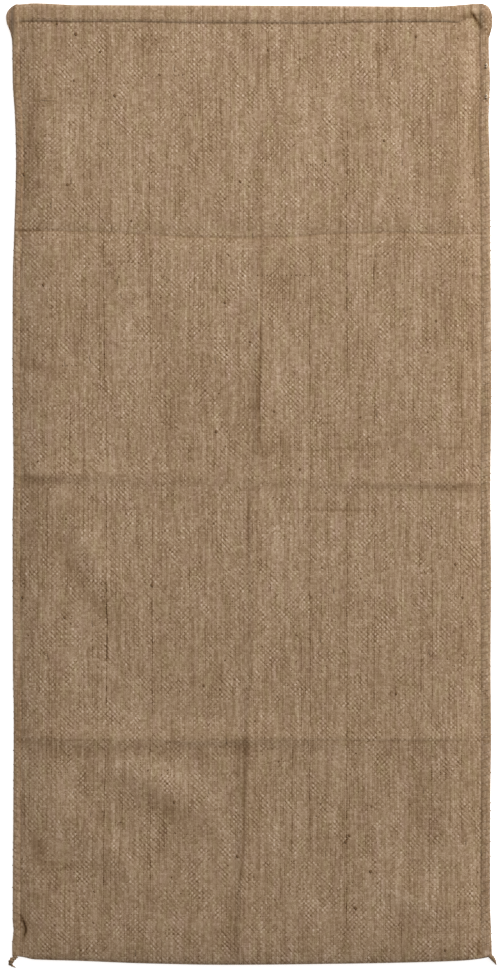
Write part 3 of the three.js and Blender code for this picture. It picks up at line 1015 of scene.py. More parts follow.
def streaks(number: int, across: float, along: float, detail: float, swing: float) -> Mottle:
    """One layer of streaks or blotches, which brightens and darkens the cloth by a swing about 1."""
    return Mottle(across, along, 3.0 + 5 * number, detail, 0.6, (0.2, 0.8), (1 - swing, 1 + swing))


@dataclass(frozen=True)
class WovenJute:
    """Coarse plain-woven jute. Sizes are in millimetres and run over the flat cloth."""

    surface: tuple[tuple[str, float], ...] = (
        ("Roughness", 0.93), ("Specular IOR Level", 0.08), ("Sheen Weight", 0.03), ("Sheen Roughness", 0.6),
    )
    warp: YarnLay = YarnLay(2.86, 0.52, 0.66, 0.02, 0.19, 0.0)
    weft: YarnLay = YarnLay(3.0, 0.52, 0.66, 0.045, 0.04, 50.0)
    colour: Colour = (0.292, 0.197, 0.121)
    golden: Colour = (0.277, 0.198, 0.106)
    rosy: Colour = (0.287, 0.186, 0.124)
    gold: Mottle = Mottle(0.07, 0.03, 21.0, 3.0, 0.6, (0.5, 0.72), (0.0, 0.7))
    rose: Mottle = Mottle(0.06, 0.025, 27.0, 3.0, 0.6, (0.52, 0.72), (0.0, 0.75))
    # Powers of the brightness for red, green and blue: where the cloth is darker it is also warmer.
    # That warmth is painted bounce light, in painted shade and in the cloth's own darker tones alike.
    dark_tint: Colour = (0.82, 1.0, 1.27)
    darkest: float = 0.01
    # How far the yarns drift slowly and jostle quickly, and the lumps of both to a millimetre.
    drift: float = 5.0
    drift_lumps: Pair = (0.016, 0.005)
    jostle: float = 3.2
    jostle_lumps: float = 0.09
    # How high warp and weft rise over each other, and how round they are.
    warp_wave: Pair = (0.55, 1.0)
    weft_wave: Pair = (-0.4, 0.85)
    bump: float = 0.2
    bump_strength: float = 0.8
    # Light on the floats: its slant, its strength, and how it differs from float to float.
    slant: Mottle = Mottle(0.022, 0.016, 43.0, 2.0, 0.5, (0.36, 0.6), (-0.1, 0.55))
    contrast: Mottle = Mottle(0.035, 0.022, 47.0, 3.0, 0.6, (0.34, 0.64), (0.1, 0.44))
    float_range: Pair = (0.2, 1.8)
    crossing_range: Pair = (0.79, 1.21)
    grain: Mottle = Mottle(1.15, 0.75, 61.0, 1.0, 0.6, (0.22, 0.78), (0.6, 1.4))
    fibre_lumps: Pair = (2.4, 0.85)
    fibre_rise: float = 0.35
    # Nap that covers the weave in places: where it lies, its level and how the fibres stand up from it.
    nap: Mottle = Mottle(0.05, 0.03, 0.0, 3.0, 0.5, (0.42, 0.66), (0.0, 0.85))
    nap_level: float = 0.62
    nap_rise: float = 0.5
    # The holes are painted dark, as the shade inside the cloth.
    # Small holes where four yarns meet: where they open beside a yarn, how rare and how dark they are.
    pit_sides: Pair = (0.15, 0.42)
    pit_rarity: float = 6.0
    pit_darkness: float = 0.88
    # The gaps are painted dark, as the shade inside the cloth.
    # Opened gaps between warp yarns: by chance, between the pairs in which the yarns lie, and along each gap.
    gap_chance: Mottle = Mottle(5.17, 0.006, 31.0, 2.0, 0.5, (0.52, 0.74), (0.0, 0.7))
    pair_apart: Mottle = Mottle(0.11, 0.014, 71.0, 2.0, 0.5, (0.36, 0.64), (0.2, 1.6))
    pair_gap: float = 0.3
    gap_along: Mottle = Mottle(3.3, 0.06, 37.0, 3.0, 0.65, (0.36, 0.66), (0.15, 1.35))
    gap_width: Pair = (0.08, 0.42)
    gap_weft: Pair = (0.6, 1.0)
    gap_darkest: float = 0.9
    gap_fade: float = 30.0
    gap_strength: float = 1.3
    slack_gaps: tuple[SlackGap, ...] = gaps(
        (-248, 538, 483, 0.6), (-257, 12, -100, 0.6), (-245, -140, -320, 0.35), (-245, -465, -535, 0.4),
        (-201, 515, 330, 0.35), (-198, -160, -305, 0.45), (-189, 440, 100, 0.45), (-183, 345, 110, 0.7),
        (-181, 0, -300, 1.0), (-184, -300, -545, 0.6), (-128, 460, 70, 0.5), (-124, -90, -310, 0.7),
        (-128, -300, -520, 0.6), (-60, 480, 150, 0.4), (-58, -20, -290, 0.35), (-33, 275, 95, 0.4),
        (19, 590, 430, 0.45), (26, 460, 60, 0.35), (50, -300, -480, 0.5), (62, -180, -340, 0.55),
        (73, 300, -470, 0.6), (96, 170, -330, 0.4), (119, 470, 130, 0.75), (120, 0, -570, 0.65),
        (154, 300, -320, 0.6), (203, 340, 140, 0.4), (210, 60, -130, 0.45), (222, 540, 420, 0.4),
        (224, -10, -470, 0.5), (255, 560, 380, 0.45), (262, 310, -450, 0.45),
    )
    # Streaks down the warp and soft blotches: lumps to a millimetre across and along, detail, swing.
    patches: tuple[Mottle, ...] = (
        streaks(0, 0.62, 0.035, 2.0, 0.12),
        streaks(1, 0.20, 0.008, 3.0, 0.16),
        streaks(2, 0.085, 0.042, 3.0, 0.11),
        streaks(3, 0.042, 0.006, 2.0, 0.13),
        streaks(4, 0.014, 0.010, 2.0, 0.05),
    )

    def material(self) -> Material:
        """The finished material."""
        return ClothDesk(self).finish()


class ClothDesk(FinishDesk):
    """The nodes of the woven cloth."""

    def __init__(self, jute: WovenJute) -> None:
        """Reads the places on the flat cloth and lays its yarns.

        Args:
            jute: the cloth.
        """
        super().__init__("jute_cloth", dict(jute.surface))
        self.jute = jute
        flat = self.get("ShaderNodeUVMap", uv_map=FLAT_MAP)
        split = self.add("ShaderNodeSeparateXYZ", {0: flat})
        self.u, self.v = (self.product(split.outputs[axis], 1 / MM) for axis in (0, 1))
        self.warp = self.yarns(self.u, self.v, jute.warp)
        self.weft = self.yarns(self.v, self.u, jute.weft)
        # Warp and weft take turns on top: the sign is 1 where the warp is, -1 where the weft is.
        turn = self.math("FLOORED_MODULO", self.math("ADD", self.warp.index, self.weft.index), 2.0)
        self.sign = self.without(self.product(turn, 2.0))

    def yarns(self, across: Socket, along: Socket, lay: YarnLay) -> YarnSet:
        """Lays the yarns of one direction.

        Args:
            across: place across the yarns.
            along: place along them.
            lay: how they lie.

        Returns:
            The yarns.
        """
        jute = self.jute
        slow = self.noise(self.scaled(across, jute.drift_lumps[0], along, jute.drift_lumps[1], lay.seed))
        quick = self.noise(self.scaled(across, jute.jostle_lumps, along, lay.waver, lay.seed + 5))
        moved = self.math("ADD", self.product(slow, jute.drift), self.product(quick, jute.jostle))
        count = self.math("DIVIDE", self.math("ADD", across, moved), lay.pitch)
        index = self.math("FLOOR", count)
        aside = self.math("SUBTRACT", self.math("SUBTRACT", count, index), 0.5)
        half = self.mottle(index, along, lay.thickness())
        return YarnSet(count, index, aside, half, self.mottle(index, along, lay.tone()))

    def level(self, yarns: YarnSet, other: YarnSet, wave: Pair) -> Socket:
        """Height of the yarns of one direction.

        Args:
            yarns: the yarns.
            other: those that cross them.
            wave: how far they rise over the others, below zero for the weft, and how round they are.

        Returns:
            The height, very low between the yarns.
        """
        over = self.product(self.sign, self.math("COSINE", self.product(other.aside, math.pi)))
        part = self.math("DIVIDE", yarns.aside, yarns.half)
        top = self.math("SQRT", self.math("MAXIMUM", self.without(self.product(part, part)), 0.0))
        height = self.math("ADD", self.product(over, wave[0]), self.product(top, wave[1]))
        return self.blend(self.math("GREATER_THAN", top, 0.0), -1.0, height)

    def float_light(self) -> Socket:
        """Light on the floats: the warp's are the brighter ones, and no two are alike.

        Returns:
            A value about 0.
        """
        slant = self.mottle(self.u, self.v, self.jute.slant)
        domes = []
        for yarns, other in ((self.warp, self.weft), (self.weft, self.warp)):
            aside = self.math("ADD", yarns.aside, self.product(other.aside, slant))
            domes.append(self.math("MAXIMUM", self.math("COSINE", self.product(aside, math.pi)), 0.0))
        dome = self.product(self.sign, self.product(*domes))
        chance = self.chance(self.weft.index, self.warp.index, 3.0)
        own = self.spread(chance, 0.0, 1.0, *self.jute.float_range)
        return self.product(dome, self.product(self.mottle(self.u, self.v, self.jute.contrast), own))

    def pit_shade(self) -> Socket:
        """How dark the painted shade shows in the small holes where four yarns meet.

        Returns:
            The darkness, mostly 0.
        """
        both = (self.warp, self.weft)
        corner = [self.math("FLOOR", self.math("ADD", yarns.count, 0.5)) for yarns in both]
        sides = [self.spread(self.math("ABSOLUTE", yarns.aside), *self.jute.pit_sides) for yarns in both]
        depth = self.math("POWER", self.chance(*corner, 9.0), self.jute.pit_rarity)
        return self.product(self.product(*sides), self.product(depth, self.jute.pit_darkness))

    def gap_shade(self) -> Socket:
        """How dark the painted shade shows in the opened gaps between warp yarns.

        Returns:
            The darkness, 0 away from the gaps.
        """
        jute, v = self.jute, self.v
        gap = self.math("FLOOR", self.math("ADD", self.warp.count, 0.5))
        off = self.math("ABSOLUTE", self.math("SUBTRACT", self.warp.count, gap))
        slack = self.mottle(gap, v, jute.gap_chance)
        paired = self.math("COMPARE", self.math("FLOORED_MODULO", gap, 2.0), 0.0, 0.4)
        apart = self.product(self.mottle(gap, v, jute.pair_apart), jute.pair_gap)
        slack = self.math("MAXIMUM", slack, self.product(paired, apart))
        shift = 0.5 * (jute.drift + jute.jostle)
        for row in jute.slack_gaps:
            number = round((row.x + shift) / jute.warp.pitch)
            here = self.math("COMPARE", gap, float(number), 0.4)
            start = self.spread(v, row.foot, row.foot + jute.gap_fade, 0.0, jute.gap_strength * row.dark)
            end = self.spread(v, row.top - jute.gap_fade, row.top, 1.0, 0.0)
            slack = self.math("MAXIMUM", slack, self.product(here, self.product(start, end)))
        holes = self.spread(self.math("ABSOLUTE", self.weft.aside), 0.1, 0.5, *jute.gap_weft)
        line = self.product(self.spread(off, *jute.gap_width, 1.0, 0.0), holes)
        dark = self.product(line, self.product(slack, self.mottle(gap, v, jute.gap_along)))
        return self.math("MINIMUM", dark, jute.gap_darkest)

    def tinted(self, bright: Socket) -> Socket:
        """The cloth's colour.

        Args:
            bright: its brightness.

        Returns:
            The colour, golden and rosy in places.
        """
        jute = self.jute
        colour = self.tint(self.mottle(self.u, self.v, jute.gold), jute.colour, jute.golden)
        colour = self.tint(self.mottle(self.u, self.v, jute.rose), colour, jute.rosy)
        bright = self.math("MAXIMUM", bright, jute.darkest)
        powers = [self.math("POWER", bright, power) for power in jute.dark_tint]
        return self.tint(1.0, colour, self.vector(*powers), "MULTIPLY")

    def finish(self) -> Material:
        """Puts the colour and the relief together.

        Returns:
            The finished material.
        """
        jute, u, v, warp, weft = self.jute, self.u, self.v, self.warp, self.weft
        names = (NAPPED, SHADE)
        napped, shade = (self.add("ShaderNodeAttribute", attribute_name=name).outputs[2] for name in names)
        nap = self.math("MAXIMUM", self.mottle(u, v, jute.nap), napped)
        bare = self.without(nap)
        fibres = self.noise(self.scaled(u, jute.fibre_lumps[0], v, jute.fibre_lumps[1]), 1.0, 3.0, 0.65)
        fluff = self.math("ADD", jute.nap_level, self.product(fibres, jute.nap_rise))
        levels = [self.level(warp, weft, jute.warp_wave), self.level(weft, warp, jute.weft_wave)]
        weave = self.blend(nap, self.math("MAXIMUM", *levels), fluff)
        bright = self.product(
            self.math("ADD", 1.0, self.product(bare, self.float_light())),
            self.without(self.product(bare, self.pit_shade())),
            *[self.mottle(u, v, layer) for layer in jute.patches],
            warp.tone,
            weft.tone,
            self.spread(self.chance(warp.index, weft.index), 0.0, 1.0, *jute.crossing_range),
            self.mottle(u, v, jute.grain),
            self.without(self.gap_shade()),
            # The shell's painted darkness: wear, staining and painted shade, brighter with painted light below
            # zero.
            self.without(shade),
        )
        height = self.math("ADD", weave, self.product(fibres, jute.fibre_rise))
        self.dress(self.tinted(bright), height, jute.bump_strength, jute.bump)
        return self.material


@dataclass(frozen=True)
class JuteYarn:
    """Hairy twisted jute yarn or fibre of one colour."""

    name: str
    colour: Colour
    dark: Colour
    surface: tuple[tuple[str, float], ...] = (("Roughness", 0.92), ("Specular IOR Level", 0.06))
    grain: float = 900.0
    patch_grain: float = 60.0
    bump: float = 0.25
    bump_strength: float = 0.6

    def material(self) -> Material:
        """Makes the finish.

        Returns:
            The material.
        """
        desk = FinishDesk(self.name, dict(self.surface))
        place = desk.add("ShaderNodeTexCoord").outputs["Object"]
        streak = desk.noise(place, self.grain, 3.0, 0.65)
        patch = desk.noise(place, self.patch_grain)
        part = desk.product(desk.spread(streak, 0.3, 0.7), desk.spread(patch, 0.3, 0.7, 0.6, 1.0))
        desk.dress(desk.tint(part, self.dark, self.colour), streak, self.bump_strength, self.bump)
        return desk.material


class Fibre(Enum):
    """The finishes of yarns, flecks and fibres."""

    SEAM = JuteYarn("seam_yarn", (0.285, 0.193, 0.119), (0.17, 0.11, 0.063))
    BARK = JuteYarn("bark", (0.17, 0.098, 0.046), (0.11, 0.06, 0.028))
    PALE = JuteYarn("pale_yarn", (0.42, 0.30, 0.19), (0.30, 0.20, 0.12))
    SLACK = JuteYarn("slack_yarn", (0.60, 0.50, 0.38), (0.44, 0.34, 0.24))


Finishes = dict[Fibre, Material]


# ---- Geometry Nodes ----
class GeometryTree(NodeDesk):
    """A Geometry Nodes tree with named inputs, run on a host mesh to give a plain mesh."""

    def __init__(self, name: str) -> None:
        """Starts a tree that takes and gives geometry.

        Args:
            name: the tree's name.
        """
        super().__init__(bpy.data.node_groups.new(name, "GeometryNodeTree"))
        self.tree.interface.new_socket("Geometry", in_out="INPUT", socket_type="NodeSocketGeometry")
        self.tree.interface.new_socket("Geometry", in_out="OUTPUT", socket_type="NodeSocketGeometry")
        self.inputs = self.tree.nodes.new("NodeGroupInput")
        self.values: dict[str, Any] = {}
        self.material = self.size("Finish", "NodeSocketMaterial", None)

    @property
    def host(self) -> Socket:
        """The host's geometry."""
        return self.inputs.outputs[0]

    def size(self, name: str, kind: str, value: Any) -> Socket:
        """Adds a named input.

        Args:
            name: the input's name.
            kind: its socket type.
            value: what the modifier sets it to.

        Returns:
            The socket inside the tree.
        """
        item = self.tree.interface.new_socket(name, in_out="INPUT", socket_type=kind)
        self.values[item.identifier] = value
        return self.inputs.outputs[name]

    def value_of(self, name: str) -> Socket:
        """A value that the points carry, by name."""
        return self.get("GeometryNodeInputNamedAttribute", {"Name": name}, data_type="FLOAT")

    def turned(self, angle: Socket) -> Socket:
        """A turn about the upright axis."""
        return self.get("FunctionNodeEulerToRotation", {0: self.vector(0.0, 0.0, angle)})

    def random(self, low: Socket, high: Socket, seed: Socket) -> Socket:
        """A random number between two limits for each point, fixed by a seed."""
        return self.add("FunctionNodeRandomValue", {2: low, 3: high, 8: seed}, data_type="FLOAT").outputs[1]

    def close_copies(self, points: Socket, pattern: Socket, rotation: Socket, size: Socket) -> None:
        """Puts a copy of a pattern on each point and ends the tree.

        Args:
            points: the points.
            pattern: the object that is copied.
            rotation: how each copy is turned.
            size: how large each copy is.
        """
        shown = self.add("GeometryNodeObjectInfo", {"Object": pattern}).outputs["Geometry"]
        scale = self.vector(size, size, size)
        copies = {"Points": points, "Instance": shown, "Rotation": rotation, "Scale": scale}
        self.close(self.get("GeometryNodeInstanceOnPoints", copies))

    def close(self, geometry: Socket) -> None:
        """Ends the tree in realized instances with their finish.

        Args:
            geometry: what the tree has made.
        """
        smooth = self.get("GeometryNodeSetShadeSmooth", {"Geometry": geometry})
        plain = self.get("GeometryNodeRealizeInstances", {"Geometry": smooth})
        dressed = self.add("GeometryNodeSetMaterial", {"Geometry": plain, "Material": self.material})
        self.add("NodeGroupOutput", {0: dressed.outputs[0]})

    def run(self, host: Piece, name: str, material: Material) -> Piece:
        """Runs the tree on a host and keeps the result as a plain mesh.

        Args:
            host: the object that it reads, which is left as it was.
            name: the new object's name.
            material: its finish.

        Returns:
            The new object.
        """
        modifier = host.modifiers.new(name, "NODES")
        modifier.node_group = self.tree
        for identifier, value in self.values.items():
            modifier[identifier] = material if value is None else value
        seen = host.evaluated_get(bpy.context.evaluated_depsgraph_get())
        mesh = bpy.data.meshes.new_from_object(seen)
        mesh.name = name
        host.modifiers.remove(modifier)
        return link_object(name, mesh)


def host_of(
    name: str, places: Places, shift: Pair, values: dict[str, Places], line: bool = False
) -> Piece:
    """A helper object that carries places for a tree.

    Args:
        name: the name of the piece that it helps to make.
        places: the places, in millimetres from the middle of the sack.
        shift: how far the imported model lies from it.
        values: values at the places, by name.
        line: whether the places are joined in a line.

    Returns:
        The helper object.
    """
    mesh = bpy.data.meshes.new(name + "_places")
    edges = [(index, index + 1) for index in range(len(places) - 1)] if line else []
    mesh.from_pydata(((places + (*shift, 0.0)) * MM).tolist(), edges, [])
    set_values(mesh, values)
    return link_object(mesh.name, mesh)


def drop(piece: Piece) -> None:
    """Deletes a helper object and its mesh.

    Args:
        piece: the object.
    """
    mesh = piece.data
    bpy.data.objects.remove(piece)
    bpy.data.meshes.remove(mesh)


def ride_along(piece: Piece, slot: str, *nodes: str) -> Piece:
    """Fixes a piece to the sack.

    Args:
        piece: the piece.
        slot: the record's material slot; not used.
        *nodes: the nodes that it stands for.

    Returns:
        The piece.
    """
    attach(piece, "root")
    if nodes:
        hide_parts(*nodes)
    return piece


# ---- Cloth ----
@dataclass(frozen=True)
class RowPlan:
    """The rows of a skin.

    Distances from the bottom fold's edge and from each fold mark, parts of the hem's depth from the mouth, and
    how many spare rows lie between these groups.
    """

    fold_steps: tuple[float, ...]
    mark_steps: tuple[float, ...]
    mouth_parts: tuple[float, ...]
    spares: int


@dataclass
class Skin:
    """One outer skin: its point numbers, their places across and on the flat cloth, and its crown points."""

    numbers: Places
    x: Places
    flat: Places
    crown: Places


@dataclass
class Cloth:
    """The woven cloth: one closed thin shell, lofted from sections across the sack."""

    shape: SackShape
    shift: Pair
    # Columns of the front, the back and the inside.
    seam_parts: tuple[float, ...] = (0, 0.02, 0.06, 0.12, 0.2, 0.32, 0.45, 0.58, 0.7, 0.8, 0.88, 0.95, 1.0)
    beside_seam: tuple[float, ...] = (1.4, 2.8, 4.2, 5.6, 7.2, 9, 11, 13, 15.5, 18.5, 23, 31, 42)
    beside_fold: tuple[float, ...] = (
        -24, -17, -12, -9, -7, -5.5, -4, -2.5, -1, 0.5, 2, 3.5, 5, 7, 10, 15, 24,
    )
    spare_columns: int = 48
    back_parts: tuple[float, ...] = (0, 0.04, 0.15, 0.4, 0.8, 1.2)
    back_beside: tuple[float, ...] = (8, 26, 42)
    back_spare_columns: int = 11
    inner_beside: tuple[float, ...] = (2.5, 6, 14, 28, 46)
    inner_spare_columns: int = 5
    # Rows of the outer skins, other than those of the hem, and of the inside.
    fold_steps: tuple[float, ...] = (0, 0.3, 0.9, 1.6, 2.6, 4, 6.5, 10, 16, 24)
    mark_steps: tuple[float, ...] = (-26, -18, -12, -8, -5, -3, -1.5, 0, 1.5, 3, 5, 8, 12, 18, 26)
    spare_rows: int = 72
    inner_rows: RowPlan = RowPlan((1.9, 4, 10, 24), (), (3.2, 1.9, 1.3, 1.0, 0.9, 0.5, 0.1, 0.02), 60)
    inner_lift: Table = Table("part lift", (0, 1.7), (1, 1.7), (1.3, 1.4), (1.9, 0.6), (3.2, 0))
    # Rim of the mouth: how far its crown stands out, how far it lies under the front, its run on the cloth.
    crown: float = 0.7
    crown_drop: float = 0.9
    crown_run: float = 1.2
    # How much nap covers the weave on the hem and on the side seams.
    hem_nap: float = 0.75
    seam_nap: float = 0.45
    # No strewn sliver starts nearer to a side edge or to the bottom edge than this.
    clear_side: float = 4.0
    clear_bottom: float = 5.0
    # Hem: distance from the mouth in parts of its depth, what it adds to the front, how it lifts the back.
    hem_rows: tuple[tuple[float, float, float], ...] = (
        (3.2, 0, 0), (2.8, -0.02, 0.12), (2.4, -0.05, 0.25), (2.15, -0.07, 0.4), (1.9, -0.1, 0.6),
        (1.7, -0.15, 0.85), (1.5, -0.2, 1.1), (1.3, -0.3, 1.4), (1.18, -0.5, 1.6), (1.12, -0.8, 1.68),
        (1.09, -0.9, 1.7), (1.065, -0.5, 1.72), (1.045, 0, 1.74), (1.025, 0.3, 1.7), (1.0, 0.7, 1.2),
        (0.98, 1.0, 0.3), (0.955, 1.3, 0.05), (0.925, 1.55, 0), (0.88, 1.8, 0), (0.82, 1.97, 0),
        (0.75, 2.06, 0), (0.6, 2.1, 0), (0.4, 2.05, 0), (0.25, 1.95, 0), (0.15, 1.75, 0), (0.08, 1.3, 0.1),
        (0.04, 0.8, 0.2), (0.015, 0.2, 0.5), (0, -0.6, 0.9),
    )

    def columns(
        self, seam: Sequence[float], beside: Sequence[float], fold: Sequence[float], spares: int
    ) -> Columns:
        """Lays out the columns of a skin.

        Args:
            seam: their places in the seam, in parts of its width.
            beside: their distances from the seam line.
            fold: their places beside the long fold.
            spares: how many lie between, on either side of the fold.

        Returns:
            The columns.
        """
        left, right = (
            [part * width for part in seam] + [width + step for step in beside]
            for width in (self.shape.seam_widths[side] for side in Side)
        )
        near, far, middle = spares + len(left), spares + len(right), len(fold)
        steps = np.linspace(0, 1, spares + 2)[1:-1]
        ends = np.zeros(len(left)), np.full(len(right), 2.0)
        return Columns(
            np.array(left + [left[-1]] * (spares + middle + far)),
            np.array([fold[0]] * near + list(fold) + [fold[-1]] * far),
            np.array([right[-1]] * (near + middle + spares) + right[::-1]),
            np.concatenate([ends[0], steps, np.ones(middle), 1 + steps, ends[1]]),
        )

    def grid(self, layout: Columns, rows: RowPlan) -> tuple[Places, Places]:
        """Places of the points of a skin.

        Args:
            layout: its columns.
            rows: its rows.

        Returns:
            The places across and along, by row and column.
        """
        nominal = layout.places(self.shape, np.zeros(len(layout.part)))
        groups = [self.shape.bottom.read("y", nominal) + np.array(rows.fold_steps)[:, None]]
        if rows.mark_steps:
            steps = np.array(rows.mark_steps)[:, None]
            groups += [fold.line.read("y", nominal) + steps for fold in self.shape.cross_folds]
        depth = self.shape.hem_depth.read("depth", nominal)
        groups.append(self.shape.mouth.read("y", nominal) - np.array(rows.mouth_parts)[:, None] * depth)
        y = between(groups, rows.spares)
        return layout.places(self.shape, y), y

    def hem_column(self, rows: int, column: int) -> Places:
        """One column of the hem's rows, under zeros for all rows below them."""
        values = [row[column] for row in self.hem_rows]
        return np.array([0.0] * (rows - len(values)) + values)[:, None]

    def flat_height(self, face: Face, y: Places) -> Places:
        """Places along the flat cloth in millimetres: the back goes on below the bottom fold."""
        return y if face is Face.FRONT else -self.shape.length - y

    def flat_places(self, face: Face, x: Places, y: Places, z: Places) -> Places:
        """Places of an outer skin's points on the flat cloth, in metres.

        Args:
            face: the layer.
            x: places across.
            y: places along.
            z: heights.

        Returns:
            The places, by row, column and axis.
        """
        steps = np.hypot(np.diff(x, axis=1), np.diff(z, axis=1))
        run = np.concatenate([np.zeros((x.shape[0], 1)), np.cumsum(steps, axis=1)], axis=1)
        centre = x.shape[1] // 2
        u = run - run[:, centre:centre + 1] + x[:, centre:centre + 1]
        return np.stack([u, self.flat_height(face, y)], axis=-1) * MM

    def outer_skin(self, work: Patchwork, face: Face) -> Skin:
        """Adds the points of one outer skin.

        Args:
            work: what gathers the points.
            face: the layer.

        Returns:
            The skin.
        """
        hem_parts = tuple(row[0] for row in self.hem_rows)
        rows = RowPlan(self.fold_steps, self.mark_steps, hem_parts, self.spare_rows)
        if face is Face.FRONT:
            layout = self.columns(self.seam_parts, self.beside_seam, self.beside_fold, self.spare_columns)
            x, y = self.grid(layout, rows)
            z = self.shape.front(x, y, self.hem_column(len(y), 1))
            crest = z[-1] - self.crown_drop
        else:
            layout = self.columns(self.back_parts, self.back_beside, (0.0,), self.back_spare_columns)
            x, y = self.grid(layout, rows)
            z = self.shape.back(x, y, self.hem_column(len(y), 2))
            crest = mix(z[-1], self.shape.cloth + self.shape.hem_layers, 0.5)
        numbers = work.add_points(x, y, z)
        crown = work.add_points(x[-1], y[-1] + self.crown, crest)
        return Skin(numbers, x, self.flat_places(face, x, y, z), crown)

    def join_outside(self, work: Patchwork, front: Skin, back: Skin) -> None:
        """Joins the two outer skins at their side edges and along the bottom fold.

        Args:
            work: what gathers the faces.
            front: the upper skin.
            back: the lower skin, which takes its side points from the upper one.
        """
        for index in (0, -1):
            back.numbers[:, index] = front.numbers[:, index]
            back.crown[index] = front.crown[index]
        work.add_grid(front.numbers, front.flat)
        work.add_grid(back.numbers[1:], back.flat[1:])
        fold_flat = front.flat[0] * (1, -1) - (0, self.shape.length * MM)
        keys = back.x[1].copy()
        keys[[0, -1]] = front.x[0][[0, -1]]
        work.zip_rows((front.numbers[0], fold_flat, front.x[0]), (back.numbers[1], back.flat[1], keys))

    def add_inside(self, work: Patchwork, skins: dict[Face, Skin]) -> None:
        """Adds the two inner skins and joins them to the outer ones over the rims of the mouth.

        Args:
            work: what gathers the points and faces.
            skins: the outer skins.
        """
        layout = self.columns((), self.inner_beside, (0.0,), self.inner_spare_columns)
        x, y = self.grid(layout, self.inner_rows)
        top = self.shape.panel(x, y) - self.shape.cloth
        floor = self.shape.cloth + self.inner_lift.read("lift", self.shape.hem_part(x, y))
        edge = mix(floor, top, 0.5)
        for level in (top, floor):
            level[:, [0, -1]] = edge[:, [0, -1]]
            level[0] = edge[0]
        upper, lower = work.add_points(x, y, top), work.add_points(x, y, floor)
        lower[:, [0, -1]] = upper[:, [0, -1]]
        lower[0] = upper[0]
        for (face, skin), numbers in zip(skins.items(), (upper, lower)):
            flat = np.stack([x, self.flat_height(face, y)], axis=-1) * MM
            work.add_grid(numbers, flat)
            crown_flat = skin.flat[-1] + (0, face.value * self.crown_run * MM)
            work.add_grid(np.stack([skin.numbers[-1], skin.crown]), np.stack([skin.flat[-1], crown_flat]))
            work.zip_rows((skin.crown, crown_flat, skin.x[-1]), (numbers[-1], flat[-1], x[-1]))

    def traits(self, points: Places, front_points: int) -> dict[str, Places]:
        """Values that the finish and the strewn slivers read.

        Args:
            points: all points of the shell.
            front_points: how many of them, from the first, lie on the outer front.

        Returns:
            A value for each point, by name.
        """
        x, y = points[:, 0], points[:, 1]
        on_front = np.arange(len(points)) < front_points
        start, seam = self.shape.side_of(x, y)
        clear = (start > self.clear_side) & (y - self.shape.bottom.read("y", x) > self.clear_bottom)
        on_hem = self.shape.hem_part(x, y) < 1.0
        return {
            SHADE: np.where(on_front, self.shape.wear_and_shade(x, y), 0.0),
            OUTSIDE: np.where(on_front & clear, 1.0, 0.0),
            NAPPED: np.maximum(self.hem_nap * on_hem, self.seam_nap * (start < seam)),
        }

    def build(self, material: Material) -> Piece:
        """Makes the shell.

        Args:
            material: its finish.

        Returns:
            The finished object.
        """
        work = Patchwork()
        skins = {face: self.outer_skin(work, face) for face in Face}
        self.join_outside(work, skins[Face.FRONT], skins[Face.BACK])
        self.add_inside(work, skins)
        points = np.concatenate(work.points)
        traits = self.traits(points, skins[Face.FRONT].numbers.size)
        work.points = [(points + (*self.shift, 0.0)) * MM]
        piece = work.build("sack_cloth_woven", traits)
        piece.data.materials.append(material)
        return ride_along(piece, "jute_cloth", "sack_cloth")


